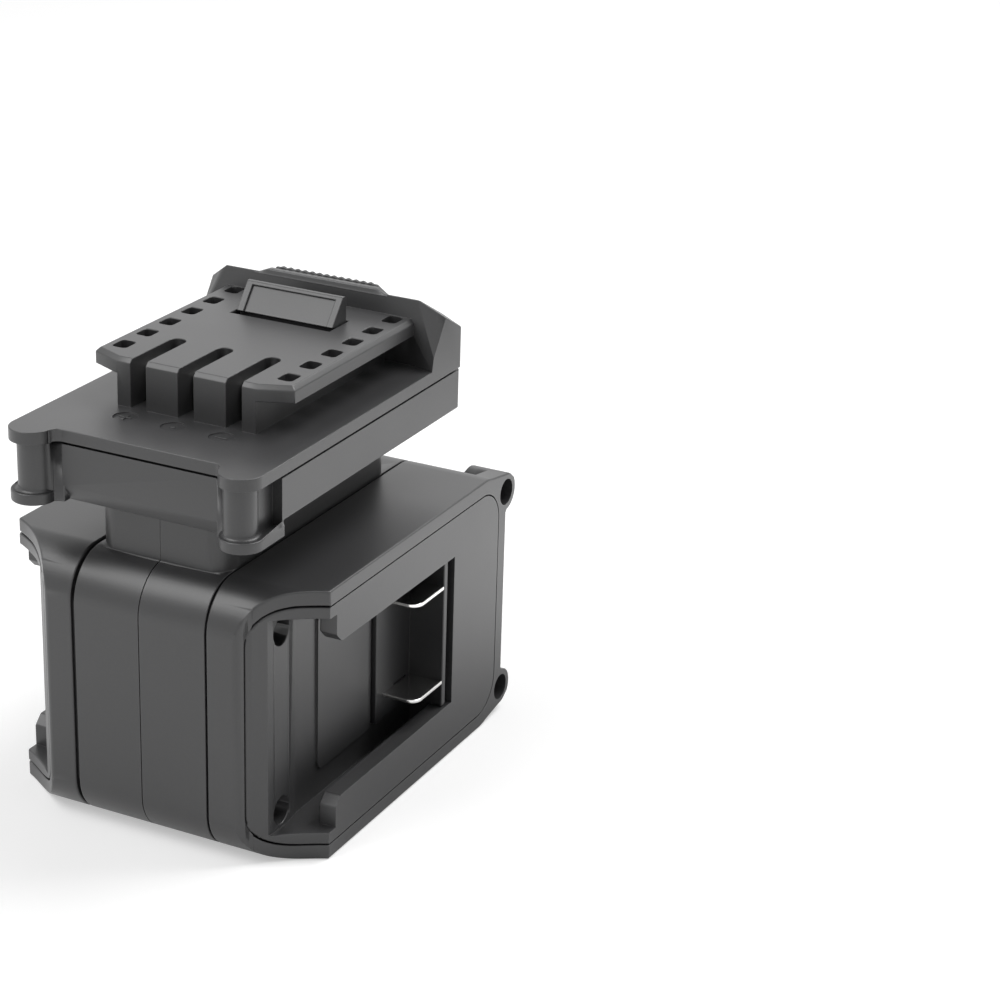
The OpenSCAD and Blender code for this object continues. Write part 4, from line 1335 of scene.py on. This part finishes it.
@dataclass(frozen=True)
class Softbox:
    """Area light that looks at a point of the object."""

    name: str
    place: tuple[float, float, float]
    width: float
    height: float
    watts: float
    target: tuple[float, float, float] = (0.0, 0.0, 0.05)

    def build(self) -> None:
        """Adds the light, which the camera itself doesn't see."""
        light = bpy.data.lights.new(self.name, "AREA")
        light.shape = "RECTANGLE"
        light.size, light.size_y = self.width, self.height
        light.energy = self.watts
        lamp = added(self.name, light)
        lamp.visible_camera = False
        aim = Vector(self.place) - Vector(self.target)
        lamp.matrix_world = Matrix.Translation(self.place) @ aim.to_track_quat("Z", "Y").to_matrix().to_4x4()


@dataclass
class Studio:
    """White light tent: pale floor with a painted reflection on its mirrored rays, white surroundings and
    soft boxes.
    """

    ambient: float = 0.25
    floor_size: float = 6.0
    floor_colour: float = 0.7
    floor_glow: float = 0.42
    # front_gleam to gleam_left paint the floor's reflection: even in front, a painted bright patch behind on
    # the right, and a painted shadow close to the object
    front_gleam: float = 0.62
    rear_gleam: float = 1.15
    gleam_weights: tuple[float, float] = (0.45, 0.9)
    gleam_side: tuple[float, float] = (-0.08, 0.02)
    painted_shadow_fade: tuple[float, float] = (0.045, 0.15)
    gleam_fall: tuple[float, float] = (0.19, 0.29)
    gleam_left: float = 0.4
    floor_drop: float = 0.0001
    floor_rows: int = 9
    floor_cells: float = 3.0
    floor_patches: tuple[float, float] = (0.3, 0.7)
    floor_least: float = 0.97
    floor_roughness: float = 0.9
    boxes: tuple[Softbox, ...] = (
        Softbox("box_above", (0.4, 0.55, 1.05), 0.7, 0.7, 11.0),
        Softbox("box_front", (-0.44, -0.46, 0.88), 0.7, 0.7, 6.0),
        Softbox("box_rear", (-0.5, 1.0, 0.5), 0.6, 0.6, 0.5),
    )

    def build(self) -> None:
        """Adds surroundings, floor and lights."""
        bpy.context.scene.view_settings.view_transform = "Standard"
        self._surroundings()
        self._floor()
        for box in self.boxes:
            box.build()

    @staticmethod
    def _seen(graph: Graph) -> bpy.types.NodeSocket:
        """Marks the rays that see the white background.

        Args:
            graph: Node tree of the world.

        Returns:
            1 on camera, glossy and transmission rays, and else 0.
        """
        rays = graph.add("ShaderNodeLightPath").outputs
        return graph.math("MAXIMUM", graph.math("MAXIMUM", rays["Is Camera Ray"], rays["Is Glossy Ray"]),
                          rays["Is Transmission Ray"])

    def _surroundings(self) -> None:
        """White world that lights at the ambient level and is seen as white."""
        world = bpy.data.worlds.new("light_tent")
        bpy.context.scene.world = world
        world.use_nodes = True
        graph = Graph(world.node_tree)
        sky = world.node_tree.nodes["Background"]
        sky.inputs["Color"].default_value = (1.0, 1.0, 1.0, 1.0)
        strength = graph.math("MULTIPLY_ADD", self._seen(graph), 1.0 - self.ambient, self.ambient)
        graph.feed(sky.inputs["Strength"], strength)

    def _floor(self) -> None:
        """Matt floor with a glow on the rays that see the background, so that only the shadow shows, and a
        painted reflection that glows by position on mirrored rays.
        """
        half = self.floor_size / 2.0
        ramp = np.linspace(-half, half, self.floor_rows)
        across, along = np.meshgrid(ramp, ramp)
        plan = np.stack([across, along, np.full_like(across, -self.floor_drop)], axis=-1)
        mesh = Shape.grid(plan, closed=False).mesh("floor")
        floor = added("floor", mesh)
        graph = MaterialGraph("pale_floor")
        pale = graph.remap(graph.noise(graph.coordinates(), self.floor_cells), self.floor_patches,
                           (self.floor_colour * self.floor_least, self.floor_colour))
        graph.feed(graph.shader["Base Color"], graph.grey(pale))
        graph.feed(graph.shader["Roughness"], self.floor_roughness)
        graph.feed(graph.shader["Specular IOR Level"], 0.0)
        graph.feed(graph.shader["Emission Color"], (1.0, 1.0, 1.0, 1.0))
        rays = graph.add("ShaderNodeLightPath").outputs
        direct = graph.math("MAXIMUM", rays["Is Camera Ray"], rays["Is Transmission Ray"])
        # painted reflection: mirrored rays see the floor glow by position, with painted light and painted
        # shadow
        mirrored = graph.math("MULTIPLY", rays["Is Glossy Ray"], self._gleam(graph))
        graph.feed(graph.shader["Emission Strength"],
                   graph.math("ADD", graph.math("MULTIPLY", direct, self.floor_glow), mirrored))
        mesh.materials.append(graph.material)

    def _gleam(self, graph: Graph) -> bpy.types.NodeSocket:
        """Works out the floor's glow on mirrored rays, which is a painted reflection.

        In front of the object it is even. Behind it on the right it is stronger, a painted patch of light. It
        rises from nothing close to the object, which is a painted shadow, and falls off again farther away.

        Args:
            graph: Node tree of the floor's material.

        Returns:
            The strength.
        """
        spot = graph.add("ShaderNodeSeparateXYZ")
        graph.feed(spot.inputs[0], graph.coordinates())
        across = graph.math("MULTIPLY", spot.outputs[0], self.gleam_weights[0])
        behind = graph.math("MULTIPLY_ADD", spot.outputs[1], self.gleam_weights[1], across)
        reach = graph.add("ShaderNodeVectorMath", operation="LENGTH")
        graph.feed(reach.inputs[0], graph.coordinates())
        # painted shadow: the gleam is nothing close to the object and rises farther out
        near = graph.remap(reach.outputs["Value"], self.painted_shadow_fade, (0.0, self.rear_gleam))
        far = graph.remap(reach.outputs["Value"], self.gleam_fall, (1.0, self.gleam_left))
        return graph.remap(behind, self.gleam_side, (self.front_gleam, graph.math("MULTIPLY", near, far)))


def main() -> None:
    """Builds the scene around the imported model."""
    logging.basicConfig(level=logging.INFO, format="%(name)s %(message)s")
    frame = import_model()
    effects = Effects()
    finishes = {finish.slot: finish.material(effects) for finish in FINISHES}
    shop = Workshop(frame["nodes"], finishes)
    Camera().build()
    Studio().build()
    for assembly in (Housing(), SlideHead(), PoleMarks(), Latch(), ButtonGrip(), Fasteners(), Wiring()):
        assembly.build(shop)
        LOG.info("%s is built", type(assembly).__name__)


if __name__ == "__main__":
    main()
